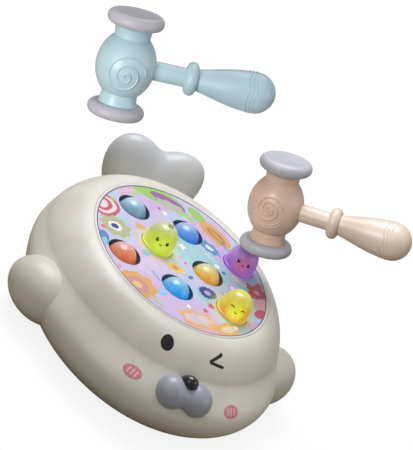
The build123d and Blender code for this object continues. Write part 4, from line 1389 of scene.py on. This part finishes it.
@dataclass
class ToyHammer:
    """A toy hammer: bulb head with two padded ends and a spiral, and a ringed handle with a fat grip."""

    name: str
    place: Spot
    head_way: Spot
    handle_way: Spot
    plastic: Shell
    pad_plastic: Shell
    grip_plastic: Shell
    spiral_turns: float
    spiral_reach: float
    spiral_centre: Pair
    crescents: tuple[float, ...] = ()
    spiral_start: float = 0.6
    spiral_end: float = 0.1
    spiral_line: Pair = (1.15, 0.85)
    crescent_line: Pair = (1.0, 0.7)
    crescent_span: Pair = (205.0, 330.0)
    length: float = 73.0
    bulb: Pair = (20.5, 24.4)
    neck: float = 12.3
    flare: float = 13.3
    wall: float = 2.2
    pad_radius: float = 19.6
    pad_thickness: float = 9.4
    pad_dish: float = 0.5
    shaft: float = 6.6
    shaft_start: float = 17.0
    shaft_middle: float = 30.0
    ring_at: float = 45.0
    ring: Pair = (11.6, 4.2)
    grip_start_step: float = 0.9
    grip: float = 14.1
    reach: float = 103.4
    waves: tuple[float, ...] = (83.4, 85.9, 88.4)
    wave_height: float = 0.7
    wave_count: int = 6
    wave_half: Pair = (0.45, 0.34)
    wave_lift: float = 0.05

    def __post_init__(self) -> None:
        """Work out the hammer's own axes: along the handle, along the head, and square to both."""
        self.along = unit(self.handle_way)
        self.across = unit(np.cross(self.along, self.head_way))
        self.up = np.cross(self.across, self.along)
        self.middle = np.array(self.place)
        self.pad_near = self.length / 2 - self.pad_thickness
        self.grip_span = (self.ring_at + self.ring[1], self.reach - self.grip)

    def head_profile(self) -> np.ndarray:
        """Bulb between two necks that flare to the pads, then back inside by the wall.

        Returns:
            Rows of radius and height, closed.
        """
        edge = math.asin(math.sqrt(1 - (self.neck / self.bulb[0]) ** 2))
        bulb = bow((0, 0), self.bulb, np.linspace(-edge, edge, 48))
        start = bulb[-1, 1]
        rise = np.linspace(0.04, 1, 8)
        flare = self.neck + (self.flare - self.neck) * rise**2
        neck = np.stack([flare, start + (self.pad_near - start) * rise], 1)
        outer = np.concatenate([neck[::-1] * np.array([1, -1]), bulb, neck])
        return np.concatenate([outer, outer[::-1] - np.array([self.wall, 0])])

    def pad_profile(self, way: int) -> np.ndarray:
        """Thick disc with a half-round rim and a shallow dish in its striking face.

        Args:
            way: 1 for the pad at the head's upper end, or -1.

        Returns:
            Rows of radius and height.
        """
        near, rim = self.pad_near, self.pad_thickness / 2
        flat = self.pad_radius - rim
        edge = bow((flat, near + rim), (rim, rim), np.linspace(-np.pi / 2, np.pi / 2, 24))
        dish = np.linspace(1, 0, 10)[1:]
        face = np.stack([flat * dish, self.length / 2 - self.pad_dish * (1 - dish**4)], 1)
        return np.concatenate([[(0.0, near), (flat / 2, near)], edge, face]) * np.array([1, way])

    def grip_radius(self, share: np.ndarray) -> np.ndarray:
        """Radius of the grip, which swells as a sine from the ring to its round end."""
        first = self.shaft + self.grip_start_step
        return first + (self.grip - first) * np.sin(share * np.pi / 2) ** 1.15

    def handle_profile(self) -> np.ndarray:
        """Shaft out of the bulb, a fat ring, then a grip that swells to a round end.

        Returns:
            Rows of radius and height.
        """
        (ring_r, ring_h), (start, cap) = self.ring, self.grip_span
        ring = bow((ring_r - ring_h, self.ring_at), (ring_h, ring_h), np.linspace(-np.pi / 2, np.pi / 2, 18))
        run = np.linspace(0, 1, 40)
        grip = np.stack([self.grip_radius(run), start + (cap - start) * run], 1)
        end = bow((0, cap), (self.grip, self.grip), np.linspace(0, np.pi / 2, 20)[1:])
        heights = (self.shaft_start, self.shaft_middle, self.ring_at - ring_h)
        shaft = [(0.0, self.shaft_start), *[(self.shaft, height) for height in heights]]
        return np.concatenate([shaft, ring, grip, end])

    def onto_bulb(self, u: np.ndarray, v: np.ndarray, lift: np.ndarray) -> np.ndarray:
        """Carry a drawing to the bulb's viewer side, as longitude along the handle and latitude up the head.

        Args:
            u: Along the handle.
            v: Up the head.
            lift: Off the bulb.

        Returns:
            The points.
        """
        (r, h), facing = self.bulb, self.across * np.sign(self.across @ np.array(VIEWER_WAY))
        local = polar((r + lift) * np.cos(v / h), u / r, (h + lift) * np.sin(v / h))
        return self.middle + local @ np.stack([facing, self.along, self.up])

    def onto_grip(self, u: np.ndarray, v: np.ndarray, lift: np.ndarray) -> np.ndarray:
        """Carry a drawing round the grip and its round end.

        Args:
            u: Angle round the handle.
            v: Distance along the handle.
            lift: Off the grip.

        Returns:
            The points.
        """
        start, cap = self.grip_span
        past = np.clip(v - cap, 0, None) / self.grip
        round_end = np.sqrt(np.clip(1 - past**2, 0, 1))
        ring = self.grip_radius(np.clip((v - start) / (cap - start), 0, 1)) * round_end + lift
        return self.middle + polar(ring, u, v) @ np.stack([self.up, self.across, self.along])

    def spiral(self) -> list[np.ndarray]:
        """Spiral whose radius grows with its turn to a power, ending in a hook, with crescents below it.

        Returns:
            Grids of the raised lines.
        """
        turn = np.linspace(0, self.spiral_turns * 2 * np.pi, 260)
        grown = self.spiral_reach - self.spiral_start
        r = self.spiral_start + grown * (turn / turn[-1]) ** 1.15
        coil = bow(self.spiral_centre, (r, r), turn[::-1] + self.spiral_end)
        span = np.radians(np.linspace(*self.crescent_span, 48))
        bows = [bow(self.spiral_centre, (reach, reach), span) for reach in self.crescents]
        below = [stroke_grid(self.onto_bulb, path, *self.crescent_line) for path in bows]
        return [stroke_grid(self.onto_bulb, coil, *self.spiral_line), *below]

    def grip_waves(self) -> list[np.ndarray]:
        """Wavy raised lines round the grip near its end, each a sine wave carried round the handle.

        Returns:
            Grids of the lines.
        """
        spin = np.linspace(0, 2 * np.pi, 160)
        sway = self.wave_height * np.sin(self.wave_count * spin)
        section = round_turns(8)[:, None]
        wide, high = self.wave_half
        lift = self.wave_lift + high * np.sin(section)
        aside = sway + wide * np.cos(section)
        return [self.onto_grip(spin, at + aside, lift) for at in self.waves]

    def build(self) -> None:
        """Build and dress the hammer."""
        body = f"{self.name}_hammer"
        home, pad_home = (body, f"{body}_plastic"), (body, f"{body}_pad")
        axes = (self.middle, self.up, self.along)
        head = [spun(self.head_profile(), 96, *axes)]
        make_piece(f"{body}_head_skin", head, Closing.RING, home, self.plastic, f"{body}_head", 30)
        for way, end in ((1, "upper"), (-1, "lower")):
            pad, name = [spun(self.pad_profile(way), 96, *axes)], f"{body}_{end}_pad"
            make_piece(f"{name}_skin", pad, Closing.POLES, pad_home, self.pad_plastic, name, 40)
        handle, name = [spun(self.handle_profile(), 72, self.middle, self.along, self.up)], f"{body}_handle"
        make_piece(f"{name}_skin", handle, Closing.POLES, home, self.grip_plastic, name, 50)
        make_piece(f"{body}_spiral", self.spiral(), Closing.LINE, home, self.plastic)
        make_piece(f"{body}_grip_waves", self.grip_waves(), Closing.LINE, home, self.grip_plastic)


# What the CAD already shapes


@dataclass
class Works:
    """Nodes that keep their CAD shape: the underside, its screws and feet, and all that is inside."""

    by_slot: dict[str, Enum] = field(
        default_factory=lambda: {
            "body_plastic": Shell.BODY,
            "inner_plastic": Shell.INNER,
            "switch_plastic": Shell.DARK,
            "board": Shell.BOARD,
            "cell_case": Shell.CELL,
            "speaker_frame": Shell.SPEAKER,
            "lamp_lens": Shell.LENS,
            "screw_steel": Fitting.SCREW,
            "contact_steel": Fitting.CONTACT,
            "foot_rubber": Fitting.FOOT,
        }
    )

    def dress(self) -> None:
        """Give every shown CAD node its finish by the record's slots."""
        for entry in frame["record"]["subparts"]:
            finish = self.by_slot.get(entry["material_slot"])
            node = frame["nodes"][entry["node"]]
            if finish is None or node.hide_render:
                continue
            SHELF.put_on(node, finish)
            LOG.info("%s takes %s", entry["node"], entry["material_slot"])


# Studio


@dataclass(frozen=True)
class Lamp:
    """A square lamp: where it stands, its side, its watts, its colour, and the pieces it lights or leaves."""

    name: str
    place: Spot
    size: float
    power: float
    colour: str = "#ffffff"
    lights: str = ""
    leaves: str = ""


# The hammers have lamps of their own, because the photograph shows them lit apart from the game
LAMPS = (
    Lamp("key_lamp", (-180, 600, 1180), 800, 17.0, "#f3f6fd", leaves="blue_hammer_"),
    Lamp("right_lamp", (900, -500, 800), 600, 1.8),
    Lamp("left_lamp", (-1000, -700, 900), 900, 2.7),
    Lamp("pink_lamp", (-1060, -620, 720), 500, 9.5, lights="pink_hammer_"),
    Lamp("blue_lamp", (-1150, -880, 240), 500, 13.0, lights="blue_hammer_"),
    Lamp("blue_rear_lamp", (0, 700, 1000), 800, 4.5, lights="blue_hammer_"),
)


@dataclass
class Studio:
    """Pale floor, even sky, soft lamps and the camera at the photograph's angle."""

    eye: Spot = (-746.52, -1392.6, 951.18)
    right: Spot = (0.843427, -0.134572, 0.520116)
    up: Spot = (-0.340147, 0.615605, 0.710866)
    lens: float = 200.0
    sensor: float = 36.0
    clip_end: float = 100.0
    floor_height: float = -1.85
    floor_half: float = 6000.0
    aim: Spot = (0.0, 0.0, 60.0)

    @staticmethod
    def put(name: str, data: bpy.types.ID, place: Spot, axes: tuple) -> bpy.types.Object:
        """Make an object of a lamp or camera and place it by its own three axes.

        Args:
            name: The object's name.
            data: Its lamp or camera.
            place: Where it stands.
            axes: Its x, y and z axes.

        Returns:
            The object.
        """
        thing = bpy.data.objects.new(name, data)
        bpy.context.scene.collection.objects.link(thing)
        columns = [(*axis, 0) for axis in axes] + [(*metres(place), 1)]
        thing.matrix_world = Matrix(columns).transposed()
        return thing

    def floor(self) -> None:
        """White floor that the camera sees near white with the shadow kept, and that bounces a warm grey."""
        half, z = self.floor_half, self.floor_height
        corners = [metres((x * half, y * half, z)) for x, y in ((-1, -1), (1, -1), (1, 1), (-1, 1))]
        mesh = bpy.data.meshes.new("studio_floor")
        mesh.from_pydata(corners, [], [(0, 1, 2, 3)])
        floor = bpy.data.objects.new("studio_floor", mesh)
        bpy.context.scene.collection.objects.link(floor)
        material = bpy.data.materials.new("white_paper")
        material.use_nodes = True
        material.node_tree.nodes.clear()
        add = partial(add_node, material.node_tree)
        dull = add("BsdfDiffuse", {"Color": "#8c8270"})[0]
        paper = add("BsdfDiffuse", {"Color": "#f2f2f2"})[0]
        white = add("Emission", {"Color": "#ffffff", "Strength": 1.03})[0]
        seen = add("MixShader", (0.84, paper, white))[0]
        both = add("MixShader", (add("LightPath")["Is Camera Ray"], dull, seen))[0]
        add("OutputMaterial", {"Surface": both})
        mesh.materials.append(material)

    def sky(self) -> None:
        """Even dim sky that the camera sees white."""
        world = bpy.data.worlds.new("studio_sky")
        bpy.context.scene.world = world
        world.use_nodes = True
        world.node_tree.nodes.clear()
        add = partial(add_node, world.node_tree)
        sky, white = [add("Background", {"Color": "#ffffff", "Strength": s})[0] for s in (0.34, 1.0)]
        both = add("MixShader", (add("LightPath")["Is Camera Ray"], sky, white))[0]
        add("OutputWorld", {"Surface": both})

    def lamps(self) -> None:
        """Lamps aimed at the game, some of which light only the pieces whose names they ask for."""
        pieces = list(bpy.context.scene.objects)
        for lamp in LAMPS:
            data = bpy.data.lights.new(lamp.name, "AREA")
            data.shape = "SQUARE"
            data.size = lamp.size * MM
            data.energy = lamp.power
            data.color = linear(lamp.colour)[:3]
            back = unit(np.array(lamp.place) - np.array(self.aim))
            right = unit(np.cross([0, 1.0, 0], back))
            thing = self.put(lamp.name, data, lamp.place, (right, np.cross(back, right), back))
            if lamp.lights or lamp.leaves:
                lit = bpy.data.collections.new(f"{lamp.name}_pieces")
                for piece in pieces:
                    if lamp.lights in piece.name and not (lamp.leaves and lamp.leaves in piece.name):
                        lit.objects.link(piece)
                thing.light_linking.receiver_collection = lit

    def camera(self) -> None:
        """Camera at the photograph's angle."""
        data = bpy.data.cameras.new("photo_camera")
        data.lens = self.lens
        data.sensor_width = self.sensor
        data.clip_end = self.clip_end
        axes = (self.right, self.up, VIEWER_WAY)
        bpy.context.scene.camera = self.put("photo_camera", data, self.eye, axes)


def main() -> None:
    """Build every piece in order."""
    logging.basicConfig(level=logging.INFO, format="%(message)s")
    bpy.context.scene.view_settings.view_transform = "Standard"
    skin = SealSkin()
    moles = MoleSet()
    places = {mole.name: moles.place(mole) for mole in MOLES}
    SealCase(skin, list(places.values())).build()
    Limbs().build()
    SealFace(skin).build()
    moles.build()
    spills = (
        Spill(places["green"], "#e6e670", 0.4),
        Spill(places["yellow"], "#ecdc58", 0.35),
        Spill(places["purple"], "#c9a0e4", 0.3),
        Spill(places["cyan"], "#8fcbea", 0.2),
    )
    washes = ("#9cc9cf", "#b4cbd8", "#c9c0dc", "#ceb2d8", "#dab6c8")
    DeckPrint(PrintedFilm("printed_pet_film", washes, DECK_FORMS, spills), DECK_ITEMS).build()
    ToyHammer(
        "pink",
        place=(48.6, 23.7, 125.4),
        head_way=(-0.26, 0.27, 0.93),
        handle_way=(0.82, -0.44, 0.36),
        plastic=Shell.PINK_HAMMER,
        pad_plastic=Shell.PINK_PAD,
        grip_plastic=Shell.PINK_GRIP,
        spiral_turns=2.9,
        spiral_reach=10.2,
        spiral_centre=(-1.1, 2.0),
        crescents=(12.2, 14.4),
    ).build()
    ToyHammer(
        "blue",
        place=(-130.0, -13.9, 204.0),
        head_way=(-0.24, 0.32, 0.915),
        handle_way=(0.934, -0.18, 0.31),
        plastic=Shell.BLUE_HAMMER,
        pad_plastic=Shell.BLUE_PAD,
        grip_plastic=Shell.BLUE_HAMMER,
        spiral_turns=2.6,
        spiral_reach=14.5,
        spiral_centre=(0.4, -3.6),
    ).build()
    Works().dress()
    studio = Studio()
    studio.floor()
    studio.sky()
    studio.lamps()
    studio.camera()


if __name__ == "__main__":
    main()
